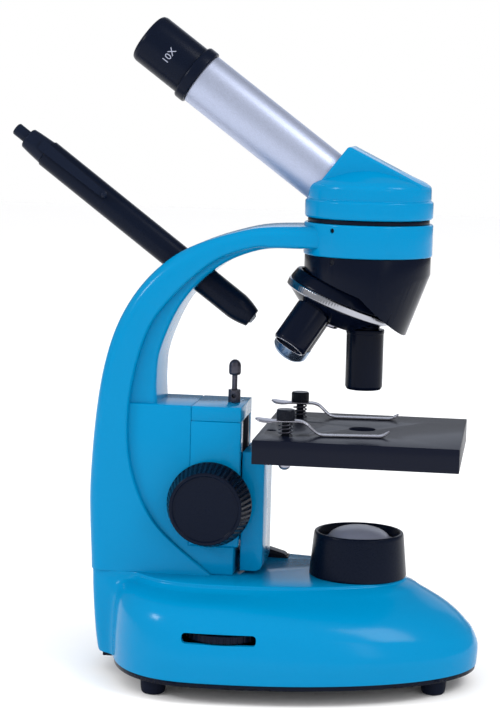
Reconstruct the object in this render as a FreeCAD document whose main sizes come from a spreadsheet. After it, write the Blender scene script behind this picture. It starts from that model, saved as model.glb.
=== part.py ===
import FreeCAD, Part
import math
import os
import Sketcher

# A student's monocular microscope. Millimetres, +Z up, +X from the arm towards the stage.
# The origin is on the ground, under the middle of the whole outline.
V = FreeCAD.Vector
X_AXIS, Y_AXIS, Z_AXIS = V(1, 0, 0), V(0, 1, 0), V(0, 0, 1)
OUT = "parts"
PRESS_GAP = 0.02      # between pieces of one body that are pressed together
RUNNING_GAP = 0.04    # between a shaft and its bushing

SIZES = {
    # the frame that everything hangs from
    "optical_x": 54.0, "ground_gap": 7.5, "plate_thick": 2.0, "deck_z": 47.7,
    "base_mid_x": -8.0, "base_front": 118.0, "base_rear": 48.5, "base_half": 62.6,
    "base_wall": 2.6, "deck_half": 37.0, "spine_half": 20.0,
    "foot_radius": 5.8, "foot_rear_x": -31.3, "foot_rear_y": 46.5,
    "foot_front_x": 91.0, "foot_front_y": 20.5,
    "screw_radius": 1.5, "head_radius": 2.8,
    # arm and focus housing
    "arm_half": 20.5, "web_half": 16.0, "block_half": 18.0,
    "block_front": 1.0, "block_seam": -21.5, "block_top": 124.3,
    "cap_line": 117.5, "toe_top": 60.8, "toe_front": -1.0,
    "slot_half": 10.6, "slot_depth": 7.6, "rail_thick": 2.0,
    # focus drive
    "shaft_x": -11.6, "shaft_z": 80.9, "shaft_radius": 3.0, "pinion_teeth": 15.0,
    "gear_module": 0.8, "pinion_half": 3.8, "rack_half": 4.0,
    "knob_inner": 20.5, "knob_depth": 15.0, "knob_back_radius": 19.2,
    "knob_front_radius": 16.4, "knob_face_radius": 14.8,
    "fit_gap": 0.05,
    # stage
    "stage_half": 45.0, "stage_rear": 9.7, "stage_z": 114.5, "stage_thick": 10.6,
    "stage_hole": 6.0, "bracket_half": 14.0, "bracket_front": 11.7,
    "bracket_rear": 1.5, "bracket_low": 49.4, "tongue_half": 12.0,
    "tongue_front": 36.0, "tongue_thick": 4.1, "attach_x": 14.5, "attach_y": 15.0,
    "attach_radius": 2.0,
    "clip_x": 22.4, "clip_y": 28.5, "clip_rest_z": 120.8, "clip_thick": 0.8,
    "clip_half": 3.0, "clip_head_radius": 4.1, "clip_head_height": 4.7,
    "diaphragm_radius": 15.0, "diaphragm_x": 64.5, "diaphragm_thick": 1.2,
    # head ring and rotating head
    "ring_low": 193.4, "ring_top": 207.9, "ring_radius": 28.8, "ring_bore": 24.0,
    "head_low": 209.9, "head_step": 218.1, "head_shoulder": 224.3,
    "head_ring_radius": 28.6, "head_radius_top": 27.6, "wedge_half": 14.0,
    "swivel_radius": 19.0,
    # eyepiece tube, measured from the slanted face of the head
    "tube_tilt": 36.6, "face_x": 34.2, "face_z": 227.4, "tube_length": 71.4,
    "tube_radius": 12.25, "tube_wall": 0.9, "socket_depth": 6.0,
    "eye_ring_radius": 13.35, "eye_ring_length": 5.2, "eye_radius": 11.9,
    "eye_length": 30.8, "sleeve_length": 20.0,
    # revolving nosepiece, measured down from the point where all its axes meet
    "turret_tilt": 21.5, "apex_z": 203.5, "ring_drop": 35.3, "nose_radius": 28.2,
    "nose_neck": 199.4, "skirt_radius": 33.6, "skirt_taper": 0.024,
    "recess_radius": 26.0, "recess_top": 9.43, "nose_light_radius": 5.6,
    "grip_radius": 24.7, "grip_height": 3.8, "disc_height": 9.1, "disc_low": 8.7,
    "axle_radius": 3.0, "shoulder_drop": 43.4, "thread_radius": 6.5,
    # illuminator
    "lamp_low_radius": 22.2, "lamp_top_radius": 20.2, "lamp_top_z": 67.8,
    "lamp_bore": 17.2, "set_screw_angle": 29.0,
    # dimmer, switch, inlet, batteries
    "slot_x": -0.7, "slot_z": 28.9, "slot_length": 32.6, "slot_height": 4.6,
    "wheel_radius": 17.0, "wheel_thick": 3.0, "wheel_y": -44.4,
    "switch_x": 8.5, "switch_y": 28.6, "switch_length": 21.0, "switch_width": 8.4,
    "jack_x": -38.0, "jack_z": 24.0,
    "cell_radius": 7.1, "cell_length": 50.0, "cell_pitch": 15.2, "door_length": 58.0, "door_width": 50.0,
    "door_x": 5.0, "door_thick": 1.8,
    # stop screw
    "stop_x": -4.7, "stop_rod": 1.25, "stop_head": 2.8,
    # penlight, measured from the end of its push button
    "pen_tail_x": -107.9, "pen_tail_z": 245.7, "pen_tilt": 36.85, "pen_radius": 6.4,
    "pen_cap_end": 18.2, "pen_barrel_end": 129.3,
}

doc = FreeCAD.newDocument("microscope")
sheet = doc.addObject("Spreadsheet::Sheet", "sizes")
for row, (alias, number) in enumerate(SIZES.items(), start=1):
    sheet.set(f"A{row}", alias)
    sheet.set(f"B{row}", str(number))
    sheet.setAlias(f"B{row}", alias)
doc.recompute()


def text_of(number):
    return number.text if isinstance(number, Size) else f"{number:.6g}"


class Size(float):
    """A number that remembers the spreadsheet expression it was worked out with."""

    def __new__(cls, number, text):
        made = super().__new__(cls, number)
        made.text = text
        return made

    def __add__(self, other):
        return Size(float(self) + float(other), f"({self.text} + {text_of(other)})")

    def __radd__(self, other):
        return Size(float(other) + float(self), f"({text_of(other)} + {self.text})")

    def __sub__(self, other):
        return Size(float(self) - float(other), f"({self.text} - {text_of(other)})")

    def __rsub__(self, other):
        return Size(float(other) - float(self), f"({text_of(other)} - {self.text})")

    def __mul__(self, other):
        return Size(float(self) * float(other), f"({self.text} * {text_of(other)})")

    __rmul__ = __mul__

    def __truediv__(self, other):
        return Size(float(self) / float(other), f"({self.text} / {text_of(other)})")

    def __neg__(self):
        return Size(-float(self), f"(0 - {self.text})")


class Sheet:
    """Reads the driving sizes back from the spreadsheet, each with its expression."""

    def __getattr__(self, alias):
        return Size(float(sheet.get(alias)), f"sizes.{alias}")


S = Sheet()


def bind(obj, prop, number):
    """Set a property, and tie it to the spreadsheet when the number came from there."""
    setattr(obj, prop, float(number))
    if isinstance(number, Size):
        obj.setExpression(prop, number.text)


def upright_plane(body):
    return next(feature for feature in body.Origin.OriginFeatures if feature.Role == "XZ_Plane")


def outline_sketch(body, points):
    """A closed polygon on the body's own XZ plane, every corner tied to the sheet."""
    sketch = body.newObject("Sketcher::SketchObject", "outline")
    sketch.AttachmentSupport = [(upright_plane(body), "")]
    sketch.MapMode = "FlatFace"
    count = len(points)
    for here, there in zip(points, points[1:] + points[:1]):
        sketch.addGeometry(Part.LineSegment(V(*map(float, here), 0), V(*map(float, there), 0)), False)
    for index in range(count):
        sketch.addConstraint(Sketcher.Constraint("Coincident", index, 2, (index + 1) % count, 1))
    for index, (across, up) in enumerate(points):
        tie_corner(sketch, index, "DistanceX", -2, across)
        tie_corner(sketch, index, "DistanceY", -1, up)
    return sketch


def tie_corner(sketch, index, kind, axis, number):
    if abs(float(number)) < 1e-9:
        sketch.addConstraint(Sketcher.Constraint("PointOnObject", index, 1, axis))
        return
    made = sketch.addConstraint(Sketcher.Constraint(kind, -1, 1, index, 1, float(number)))
    if isinstance(number, Size):
        sketch.renameConstraint(made, f"{kind}_{index}")
        sketch.setExpression(f"Constraints.{kind}_{index}", number.text)


def turned(label, profile):
    """A body turned about its own Z axis from a profile of (radius, height) corners."""
    body = doc.addObject("PartDesign::Body", label)
    sketch = outline_sketch(body, profile)
    spin = body.newObject("PartDesign::Revolution", "turned")
    spin.Profile = sketch
    spin.ReferenceAxis = (sketch, ["V_Axis"])
    spin.Angle = 360
    return body


def slab(label, points, thick):
    """A body padded from a polygon in the XZ plane, growing both ways from it."""
    body = doc.addObject("PartDesign::Body", label)
    sketch = outline_sketch(body, points)
    pad = body.newObject("PartDesign::Pad", "pad")
    pad.Profile = sketch
    pad.SideType = "Symmetric"
    bind(pad, "Length", thick)
    return body


def block(label, low, high):
    """A box from its lowest to its highest corner."""
    box = doc.addObject("Part::Box", label)
    for prop, start, end in zip(("Length", "Width", "Height"), low, high):
        bind(box, prop, end - start)
    return place(box, low)


def rod(label, radius, length, at=(0, 0, 0), axis=Z_AXIS):
    """A cylinder that starts at a point and runs along an axis."""
    made = doc.addObject("Part::Cylinder", label)
    bind(made, "Radius", radius)
    bind(made, "Height", length)
    return place(made, at, FreeCAD.Rotation(Z_AXIS, axis))


def place(obj, at, rotation=FreeCAD.Rotation()):
    obj.Placement = FreeCAD.Placement(V(*map(float, at)), rotation)
    for letter, number in zip("xyz", at):
        if isinstance(number, Size):
            obj.setExpression(f"Placement.Base.{letter}", number.text)
    return obj


def fused(label, pieces):
    made = doc.addObject("Part::MultiFuse", label)
    made.Shapes = pieces
    made.Refine = True
    return made


def common(label, pieces):
    made = doc.addObject("Part::MultiCommon", label)
    made.Shapes = pieces
    return made


def cut(label, base, tools):
    """The base less its tools."""
    made = doc.addObject("Part::Cut", label)
    made.Base = base
    made.Tool = tools[0] if len(tools) == 1 else fused(label + "_tools", tools)
    return made


def group(label, pieces):
    """Separate solids that share one node, such as a set of screws."""
    made = doc.addObject("Part::Compound", label)
    made.Links = pieces
    return made


def shaped(label, shape, at=(0, 0, 0)):
    """A free-form piece, made with Part's own functions from sizes in the sheet."""
    made = doc.addObject("Part::Feature", label)
    made.Shape = shape
    return place(made, at)


def direction(tilt, sign=1):
    """A unit vector in the XZ plane, tilt degrees away from +Z towards +X."""
    angle = math.radians(float(tilt)) * sign
    return V(math.sin(angle), 0, math.cos(angle))


def curve(points):
    """A smooth curve in the XZ plane."""
    line = Part.BSplineCurve()
    line.interpolate([V(float(x), 0, float(z)) for x, z in points])
    return line.toShape()


def lines(points):
    corners = [V(float(x), 0, float(z)) for x, z in points]
    return [Part.LineSegment(a, b).toShape() for a, b in zip(corners, corners[1:])]


def plate_from(edges, half):
    """A solid between -half and +half in Y from edges that close in the XZ plane."""
    face = Part.Face(Part.Wire(Part.__sortEdges__(edges)))
    face.translate(V(0, -float(half), 0))
    return face.extrude(V(0, 2 * float(half), 0))


# ---- base -------------------------------------------------------------------------

def egg(height, front, rear, half):
    """The base's plan: half an ellipse forwards and a squarer half ellipse backwards."""
    squareness = 2.4
    points = []
    for step in range(32):
        turn = 2 * math.pi * step / 32
        reach = float(front) if math.cos(turn) > 0 else float(rear)
        power = 2 / squareness if math.cos(turn) < 0 else 1.0
        x = float(S.base_mid_x) + reach * math.copysign(abs(math.cos(turn)) ** power, math.cos(turn))
        y = float(half) * math.copysign(abs(math.sin(turn)) ** power, math.sin(turn))
        points.append(V(x, y, float(height)))
    line = Part.BSplineCurve()
    line.interpolate(points, PeriodicFlag=True)
    return Part.Wire([line.toShape()])


def base_levels(inset):
    """Height, front reach, rear reach and half width of the base at each level."""
    low, deck = float(S.ground_gap + S.plate_thick), float(S.deck_z)
    front, rear, half = float(S.base_front), float(S.base_rear), float(S.base_half)
    top = deck - inset
    levels = [(low, 0.995, 0.99, 1.0), (20, 1.0, 1.0, 0.995), (29, 0.965, 0.99, 0.96),
              (37, 0.875, 0.965, 0.9), (43, 0.785, 0.92, 0.8)]
    made = [(z, front * f - inset, rear * r - inset, half * w - inset) for z, f, r, w in levels]
    made.append((top, front * 0.71 - inset, rear * 0.82 - inset, float(S.deck_half) - inset))
    return made


def egg_loft(inset, low_shift=0.0):
    levels = base_levels(inset)
    first = levels[0]
    levels[0] = (first[0] - low_shift, *first[1:])
    return Part.makeLoft([egg(*level) for level in levels], True, False)


def spine_block(inset):
    """The part of the base that carries on down from the back of the arm."""
    low, deck = float(S.ground_gap + S.plate_thick), float(S.deck_z)
    rear = curve([(-66.8 + inset, deck - inset), (-65.2 + inset, 31), (-62.0 + inset, low - inset)])
    rest = lines([(-62.0 + inset, low - inset), (-20, low - inset), (-20, deck - inset),
                  (-66.8 + inset, deck - inset)])
    return plate_from([rear] + rest, float(S.spine_half) - inset)


def base_shell():
    wall = float(S.base_wall)
    ox, deck = float(S.optical_x), float(S.deck_z)
    shell = egg_loft(0.0).fuse(spine_block(0.0))
    hollow = egg_loft(wall, low_shift=1.0).fuse(spine_block(wall))
    low = float(S.ground_gap + S.plate_thick)
    for x, y in plate_screw_places() + arm_bolt_places():
        hollow = hollow.cut(Part.makeCylinder(4.2, 60, V(x, y, low)))
    slot_corner = V(float(S.slot_x - S.slot_length / 2), -66, float(S.slot_z - S.slot_height / 2))
    switch_corner = V(float(S.switch_x - S.switch_length / 2), float(S.switch_y - S.switch_width / 2),
                      deck - 6)
    tools = [
        hollow,
        Part.makeCylinder(17.0, 12, V(ox, 0, deck - 8)),
        Part.makeBox(float(S.slot_length), 12, float(S.slot_height), slot_corner),
        Part.makeBox(float(S.switch_length), float(S.switch_width), 10, switch_corner),
        Part.makeCylinder(4.0, 40, V(float(S.jack_x), 30, float(S.jack_z)), Y_AXIS),
    ]
    tools += [Part.makeCylinder(1.5, 24, V(x, y, low - 1)) for x, y in plate_screw_places()]
    tools += [Part.makeCylinder(2.05, 60, V(x, y, low - 1)) for x, y in arm_bolt_places()]
    for tool in tools:
        shell = shell.cut(tool)
    return shaped("base_shell", shell)


def plate_screw_places():
    return [(-46.0, 24.0), (-46.0, -24.0), (92.0, 0.0)]


def arm_bolt_places():
    return [(-52.0, 0.0), (-30.0, 0.0)]


def base_plate():
    low = float(S.ground_gap)
    thick = float(S.plate_thick)
    wire = egg(low, float(S.base_front) * 0.99, float(S.base_rear) * 0.985, float(S.base_half) - 0.3)
    plate = Part.Face(wire).extrude(V(0, 0, thick))
    tail = Part.makeBox(30, 2 * (float(S.spine_half) - 1.5), thick, V(-60.0, -float(S.spine_half) + 1.5, low))
    door = Part.makeBox(float(S.door_length) + 0.4, float(S.door_width) + 0.4, 6,
                        V(float(S.door_x - S.door_length / 2) - 0.2, -float(S.door_width) / 2 - 0.2, low - 2))
    drills = [Part.makeCylinder(1.6, 6, V(x, y, low - 2)) for x, y in plate_screw_places()]
    drills += [Part.makeCylinder(2.1, 6, V(x, y, low - 2)) for x, y in arm_bolt_places()]
    drills += [Part.makeCylinder(2.0, 6, V(x, y, low - 2)) for x, y in foot_places()]
    shape = plate.fuse(tail).cut(Part.makeCompound([door] + drills))
    return shaped("base_plate", shape.removeSplitter())


def foot_places():
    rear_x, rear_y = float(S.foot_rear_x), float(S.foot_rear_y)
    front_x, front_y = float(S.foot_front_x), float(S.foot_front_y)
    return [(rear_x, rear_y), (rear_x, -rear_y), (front_x, front_y), (front_x, -front_y)]


def rubber_feet():
    """Four feet, each with a stub pressed up through the plate."""
    feet = []
    for number, (x, y) in enumerate(foot_places()):
        foot = turned(f"foot_{number}", [
            (0, 0), (S.foot_radius - 2.2, 0), (S.foot_radius - 1.0, 0.5), (S.foot_radius - 0.4, 1.8),
            (S.foot_radius, S.ground_gap), (1.98, S.ground_gap), (1.98, S.ground_gap + 3.2),
            (0, S.ground_gap + 3.2)])
        feet.append(place(foot, (x, y, 0)))
    return group("rubber_feet", feet)


def screw(label, at, shank, head, head_height, length):
    """A pan-head screw: the head hangs below the point, the shank runs up from it."""
    made = turned(label, [(0, -head_height), (head * 0.8, -head_height), (head, -head_height * 0.6),
                          (head, 0), (shank, 0), (shank, length), (0, length)])
    return place(made, at)


def plate_screws():
    shank = S.screw_radius - PRESS_GAP
    made = [screw(f"plate_screw_{n}", (x, y, S.ground_gap), shank, S.head_radius, 1.6, 16)
            for n, (x, y) in enumerate(plate_screw_places())]
    return group("plate_screws", made)


def arm_bolts():
    made = [screw(f"arm_bolt_{n}", (x, y, S.ground_gap), 2.0, 3.6, 2.4, 55)
            for n, (x, y) in enumerate(arm_bolt_places())]
    return group("arm_bolts", made)


def battery_door():
    """The door fills the plate's opening and turns on its rounded front edge."""
    x0, half, edge = S.door_x - S.door_length / 2, S.door_width / 2, S.door_thick / 2
    hinge_x = x0 + S.door_length - edge
    panel = block("door_panel", (x0, -half, S.ground_gap), (hinge_x, half, S.ground_gap + S.door_thick))
    hinge = rod("door_hinge", edge, S.door_width, (hinge_x, -half, S.ground_gap + edge), Y_AXIS)
    grip = rod("door_grip", 5.0, 3, (x0 + 9.0, 0, S.ground_gap - 2.2))
    return cut("battery_door", fused("door_whole", [panel, hinge]), [grip])


def battery_cells():
    made = []
    for number in range(3):
        y = (number - 1) * S.cell_pitch
        cell = turned(f"cell_{number}", [
            (0, 0), (S.cell_radius, 0), (S.cell_radius, S.cell_length - 1.5), (2.7, S.cell_length - 1.5),
            (2.7, S.cell_length), (0, S.cell_length)])
        made.append(place(cell, (S.door_x - S.cell_length / 2, y, 17.4), FreeCAD.Rotation(Z_AXIS, X_AXIS)))
    return group("battery_cells", made)


def battery_holder():
    """A tray with a wall at each end and ribs between the cells, open downwards."""
    half_x = S.cell_length / 2
    tray = block("tray", (S.door_x - half_x - 2.2, -24.6, 10.4), (S.door_x + half_x + 2.2, 24.6, 26.8))
    wells = []
    for number in range(3):
        y = (number - 1) * S.cell_pitch
        wells.append(block(f"well_{number}", (S.door_x - half_x - 0.6, y - 7.3, 9.0),
                           (S.door_x + half_x + 0.6, y + 7.3, 25.0)))
    return cut("battery_holder", tray, wells)


# ---- illumination and controls ------------------------------------------------------

def illuminator_housing():
    depth = S.lamp_top_z - S.deck_z
    made = turned("illuminator_housing", [
        (16.4, 0), (16.4, -7), (14.2, -7), (14.2, 0), (14.2, depth - 6.2), (S.lamp_bore, depth - 6.2),
        (S.lamp_bore, depth - 4), (S.lamp_top_radius - 1.6, depth - 0.7), (S.lamp_top_radius - 0.8, depth),
        (S.lamp_top_radius - 0.2, depth - 0.3), (S.lamp_top_radius, depth - 1.2), (S.lamp_low_radius, 0)])
    return place(made, (S.optical_x, 0, S.deck_z))


def collector_lens():
    """A plano-convex lens with a flat rim, stepped so that the dome reads from above."""
    rim, seat = 17.1, S.lamp_top_z - 6.2
    points = [(0, 0), (rim, 0), (rim, 2.0), (14.5, 2.6)]
    dome_radius, dome_height = 14.0, 6.0
    sphere = (dome_radius ** 2 + dome_height ** 2) / (2 * dome_height)
    for step in range(6):
        radius = dome_radius * (1 - step / 6)
        height = 2.6 + dome_height - sphere + math.sqrt(sphere ** 2 - radius ** 2)
        points.append((radius, height))
    points.append((0, 2.6 + dome_height))
    return place(turned("collector_lens", points), (S.optical_x, 0, seat))


def lamp_board():
    board = rod("board_disc", 16.2, 1.6, (S.optical_x, 0, S.deck_z - 9.0))
    chip = block("board_chip", (S.optical_x - 2.5, -2.5, S.deck_z - 7.4),
                 (S.optical_x + 2.5, 2.5, S.deck_z - 6.4))
    return fused("lamp_board", [board, chip])


def lamp_led():
    made = turned("lamp_led", [(0, 0), (2.9, 0), (2.9, 1.0), (2.5, 1.0), (2.5, 5.0), (1.8, 6.6), (0, 7.4)])
    return place(made, (S.optical_x, 0, S.deck_z - 6.4))


def dimmer_wheel():
    """A thin thumbwheel with a notched rim, on a vertical axis just inside the wall."""
    wheel = rod("wheel_disc", S.wheel_radius, S.wheel_thick,
                (S.slot_x, S.wheel_y, S.slot_z - S.wheel_thick / 2))
    hub = rod("wheel_hub", 4.0, 3.0, (S.slot_x, S.wheel_y, S.slot_z + S.wheel_thick / 2))
    bore = rod("wheel_bore", 1.6, 12, (S.slot_x, S.wheel_y, S.slot_z - 5))
    notches = []
    count = 36
    for number in range(count):
        angle = 2 * math.pi * number / count
        reach = S.wheel_radius + 0.35
        notches.append(rod(f"wheel_notch_{number}", 0.75, 6,
                           (S.slot_x + reach * math.cos(angle), S.wheel_y + reach * math.sin(angle),
                            S.slot_z - 3)))
    return cut("dimmer_wheel", fused("wheel_whole", [wheel, hub]), [bore] + notches)


def dimmer_control():
    """The potentiometer under the wheel: its case and its spindle."""
    case = block("pot_case", (S.slot_x - 6, S.wheel_y - 6, S.slot_z - 12),
                 (S.slot_x + 6, S.wheel_y + 6, S.slot_z - 4))
    spindle = rod("pot_spindle", 1.55, 10.0, (S.slot_x, S.wheel_y, S.slot_z - 4))
    return fused("dimmer_control", [case, spindle])


def switch_rocker():
    """A rocker whose rear end stands up while its front end is pressed in."""
    half, top = S.switch_length / 2 - 0.9, 6.2
    profile = [(-half, -2.5), (half, -2.5), (half, 1.0), (half - 1.2, 1.9), (-half + 2.9, top),
               (-half + 1.7, top - 0.6)]
    made = slab("switch_rocker_blank", profile, S.switch_width - 1.8)
    place(made, (S.switch_x, S.switch_y, S.deck_z))
    pin = rod("switch_pin_hole", 0.9, 20, (S.switch_x, S.switch_y - 10, S.deck_z - 0.8), Y_AXIS)
    return cut("switch_rocker", made, [pin])


def switch_frame():
    """A frame set in the deck with a pin across it for the rocker."""
    half_x, half_y = S.switch_length / 2, S.switch_width / 2
    frame = block("frame_block", (S.switch_x - half_x, S.switch_y - half_y, S.deck_z - 5.5),
                  (S.switch_x + half_x, S.switch_y + half_y, S.deck_z + 0.6))
    window = block("frame_window", (S.switch_x - half_x + 0.7, S.switch_y - half_y + 0.7, S.deck_z - 5.0),
                   (S.switch_x + half_x - 0.7, S.switch_y + half_y - 0.7, S.deck_z + 2))
    pin = rod("frame_pin", 0.85, S.switch_width - 1.0,
              (S.switch_x, S.switch_y - half_y + 0.5, S.deck_z - 0.8), Y_AXIS)
    return fused("switch_frame", [cut("frame_ring", frame, [window]), pin])


def power_jack():
    """A round DC inlet in the far side wall, with a bore and a centre pin."""
    body = rod("jack_body", 3.95, 15, (S.jack_x, 38, S.jack_z), Y_AXIS)
    bore = rod("jack_bore", 2.75, 20, (S.jack_x, 41, S.jack_z), Y_AXIS)
    pin = rod("jack_pin", 1.05, 12, (S.jack_x, 40, S.jack_z), Y_AXIS)
    return fused("power_jack", [cut("jack_sleeve", body, [bore]), pin])


# ---- arm ----------------------------------------------------------------------------

ARM_BACK = [(26.5, 206.2), (0.6, 203.8), (-30.4, 191.8), (-51.4, 169.5), (-62.8, 138.0), (-67.9, 90.0),
            (-66.8, 47.7)]
ARM_GROOVE = [(4.0, 195.9), (-13.2, 189.0), (-31.8, 172.0), (-42.8, 155.0), (-49.6, 125.7), (-48.4, 96.0),
              (-36.6, 70.3), (-10.5, 47.7)]
ARM_INNER = [(26.5, 196.1), (7.4, 195.0), (-11.5, 186.7), (-26.8, 171.0), (-36.2, 150.5), (-38.2, 136.0),
             (-37.2, 124.3)]


def arm():
    """A curved casting: a wide outer band, a narrower web inside it, a toe and a head ring."""
    ox, deck, top = float(S.optical_x), float(S.deck_z), float(S.block_top)
    into_ring = [ARM_INNER[0], (38.0, 196.6), (38.0, 206.8), ARM_BACK[0]]
    band_ends = lines([ARM_BACK[-1], ARM_GROOVE[-1]]) + lines([ARM_GROOVE[0]] + into_ring)
    band = plate_from([curve(ARM_BACK), curve(ARM_GROOVE)] + band_ends, S.arm_half)
    inner = [curve(ARM_BACK), curve(ARM_INNER)] + lines([ARM_BACK[0], ARM_INNER[0]])
    seam, toe_top, toe_front = float(S.block_seam), float(S.toe_top), float(S.toe_front)
    web_line = [ARM_INNER[-1], (seam, top), (seam, toe_top), (toe_front, toe_top), (toe_front, deck),
                ARM_BACK[-1]]
    web = plate_from(inner + lines(web_line), S.web_half)
    cheek_line = [(-60, deck), (toe_front, deck), (toe_front, toe_top), (seam, toe_top), (seam, top),
                  (-60, top), (-60, deck)]
    cheek = plate_from(lines(cheek_line), S.block_half)
    inside = plate_from(inner + lines([ARM_INNER[-1], (0, top), (0, deck), ARM_BACK[-1]]), 25)
    ring_low, ring_high = float(S.ring_low), float(S.ring_top)
    ring = Part.makeCylinder(float(S.ring_radius), ring_high - ring_low, V(ox, 0, ring_low))
    whole = band.fuse([web, cheek.common(inside), ring])
    pen_axis = pen_direction()
    tools = [
        Part.makeCylinder(float(S.ring_bore), 40, V(ox, 0, float(S.ring_low) - 5)),
        Part.makeCylinder(float(S.pen_radius + S.fit_gap), 200, pen_point(0), pen_axis),
        Part.makeCylinder(1.1, 12, set_screw_point(SET_SCREW_START, S.ring_top - 2.7), set_screw_direction()),
    ]
    tools += [Part.makeCylinder(2.02, 16, V(x, y, deck - 1)) for x, y in arm_bolt_places()]
    whole = whole.cut(Part.makeCompound(tools)).removeSplitter()
    return shaped("arm", whole)


def focus_housing():
    """The block that carries the focus shaft and the stage's vertical slide."""
    front, seam = S.block_front, S.block_seam
    body = block("housing_block", (seam, -S.block_half, S.toe_top), (front, S.block_half, S.cap_line))
    slot = block("housing_slot", (front - S.slot_depth, -S.slot_half, S.toe_top - 1),
                 (front + 1, S.slot_half, S.cap_line + 1))
    chamber = block("housing_chamber", (front - S.slot_depth - 13.4, -5.2, S.toe_top + 8),
                    (front, 5.2, S.cap_line + 1))
    seat = rod("housing_seat", 5.02, 60, (S.shaft_x, -30, S.shaft_z), Y_AXIS)
    return cut("focus_housing", body, [slot, chamber, seat])


def housing_cap():
    top = block("cap_block", (S.block_seam, -S.block_half, S.cap_line),
                (S.block_front, S.block_half, S.block_top))
    bore = rod("cap_bore", S.stop_rod + S.fit_gap, 12, (S.stop_x, 0, S.cap_line - 2))
    return cut("housing_cap", top, [bore])


def guide_rails():
    rails = []
    for side in (-1, 1):
        inner = S.slot_half - S.rail_thick
        low_y = inner if side > 0 else -S.slot_half
        rails.append(block(f"rail_{side}", (S.block_front - S.slot_depth, low_y, S.toe_top + 1.2),
                           (S.block_front - 0.1, low_y + S.rail_thick, S.cap_line - 0.1)))
    return group("guide_rails", rails)


def shaft_bushings():
    made = []
    for side in (-1, 1):
        ring = turned(f"bushing_{side}", [
            (S.shaft_radius + RUNNING_GAP, 0), (5.0, 0), (5.0, 12.5), (6.5, 12.5), (6.5, 14),
            (S.shaft_radius + RUNNING_GAP, 14)])
        made.append(place(ring, (S.shaft_x, side * 5.6, S.shaft_z), FreeCAD.Rotation(Z_AXIS, Y_AXIS * side)))
    return group("shaft_bushings", made)


def focus_shaft():
    reach = S.knob_inner + S.knob_depth - 3
    return rod("focus_shaft", S.shaft_radius, reach * 2, (S.shaft_x, -reach, S.shaft_z), Y_AXIS)


def involute_tooth(pitch, base, tip, half_angle):
    """One side of a tooth from the root circle to the tip, as points about the tooth's middle."""
    roll = math.sqrt((pitch / base) ** 2 - 1)
    pitch_angle = roll - math.atan(roll)
    points = []
    for step in range(5):
        radius = base + (tip - base) * step / 4
        part_roll = math.sqrt(max((radius / base) ** 2 - 1, 0))
        angle = half_angle + pitch_angle - (part_roll - math.atan(part_roll))
        points.append((radius, angle))
    return points


PRESSURE = math.radians(20)
BACKLASH = 0.16


def focus_pinion():
    """A 15-tooth pinion with one tooth pointing straight at the rack."""
    teeth, module = int(S.pinion_teeth), float(S.gear_module)
    pitch = module * teeth / 2
    base, tip, root = pitch * math.cos(PRESSURE), pitch + module * 0.9, pitch - module * 1.2
    half_angle = (math.pi * module / 2 - BACKLASH) / 2 / pitch
    flank = involute_tooth(pitch, base, tip, half_angle)
    corners = []
    for tooth in range(teeth):
        middle = 2 * math.pi * tooth / teeth
        rise = [(root, flank[0][1])] + flank
        around = [(r, -a) for r, a in rise] + [(r, a) for r, a in reversed(rise)]
        corners += [V(r * math.cos(middle + a), 0, r * math.sin(middle + a)) for r, a in around]
    wire = Part.makePolygon(corners + [corners[0]])
    gear = Part.Face(wire).extrude(V(0, 2 * float(S.pinion_half), 0))
    gear = gear.cut(Part.makeCylinder(float(S.shaft_radius) + PRESS_GAP, 20, V(0, -5, 0), Y_AXIS))
    return shaped("focus_pinion", gear, (S.shaft_x, -S.pinion_half, S.shaft_z))


def rack_corners():
    """The rack's toothed edge: a gap faces the pinion's tooth when the stage is at rest."""
    module = float(S.gear_module)
    line = float(S.shaft_x) + module * float(S.pinion_teeth) / 2
    pitch = math.pi * module
    tip_x, root_x = line - module * 0.9, line + module * 1.2
    tip_half = (pitch / 2 - BACKLASH) / 2 - math.tan(PRESSURE) * module * 0.9
    root_half = (pitch / 2 - BACKLASH) / 2 + math.tan(PRESSURE) * module * 1.2
    corners = []
    for number in range(-7, 6):
        middle = float(S.shaft_z) + (number + 0.5) * pitch
        corners += [(root_x, middle - root_half), (tip_x, middle - tip_half), (tip_x, middle + tip_half),
                    (root_x, middle + root_half)]
    return corners, root_x


def focus_rack():
    corners, root_x = rack_corners()
    back = root_x + 1.6
    points = corners + [(back, corners[-1][1]), (back, corners[0][1]), corners[0]]
    return shaped("focus_rack", plate_from(lines(points), S.rack_half))


def focus_knob(side, label):
    """A ribbed, tapered knob with a rim lip round a flat face, bored for the shaft."""
    depth, back, front = S.knob_depth, S.knob_back_radius, S.knob_front_radius
    bore = S.shaft_radius + PRESS_GAP
    blank = turned(label + "_blank", [
        (bore, 0), (8.0, 0), (8.0, 1.2), (back - 0.8, 1.2), (back, 2.0), (back, 3.6), (front, depth - 1.0),
        (front - 0.8, depth), (S.knob_face_radius, depth), (S.knob_face_radius - 0.6, depth - 0.8),
        (0, depth - 0.8), (0, depth - 2.98), (bore, depth - 2.98)])
    count = 48
    grooves = []
    for number in range(count):
        angle = 2 * math.pi * number / count
        low = V((float(back) + 0.45) * math.cos(angle), (float(back) + 0.45) * math.sin(angle), 3.0)
        high = V((float(front) + 0.45) * math.cos(angle), (float(front) + 0.45) * math.sin(angle),
                 float(depth) + 1)
        grooves.append(rod(f"{label}_groove_{number}", 0.75, (high - low).Length, tuple(low), high - low))
    knob = cut(label, blank, grooves)
    return place(knob, (S.shaft_x, S.knob_inner * side, S.shaft_z), FreeCAD.Rotation(Z_AXIS, Y_AXIS * side))


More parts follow.
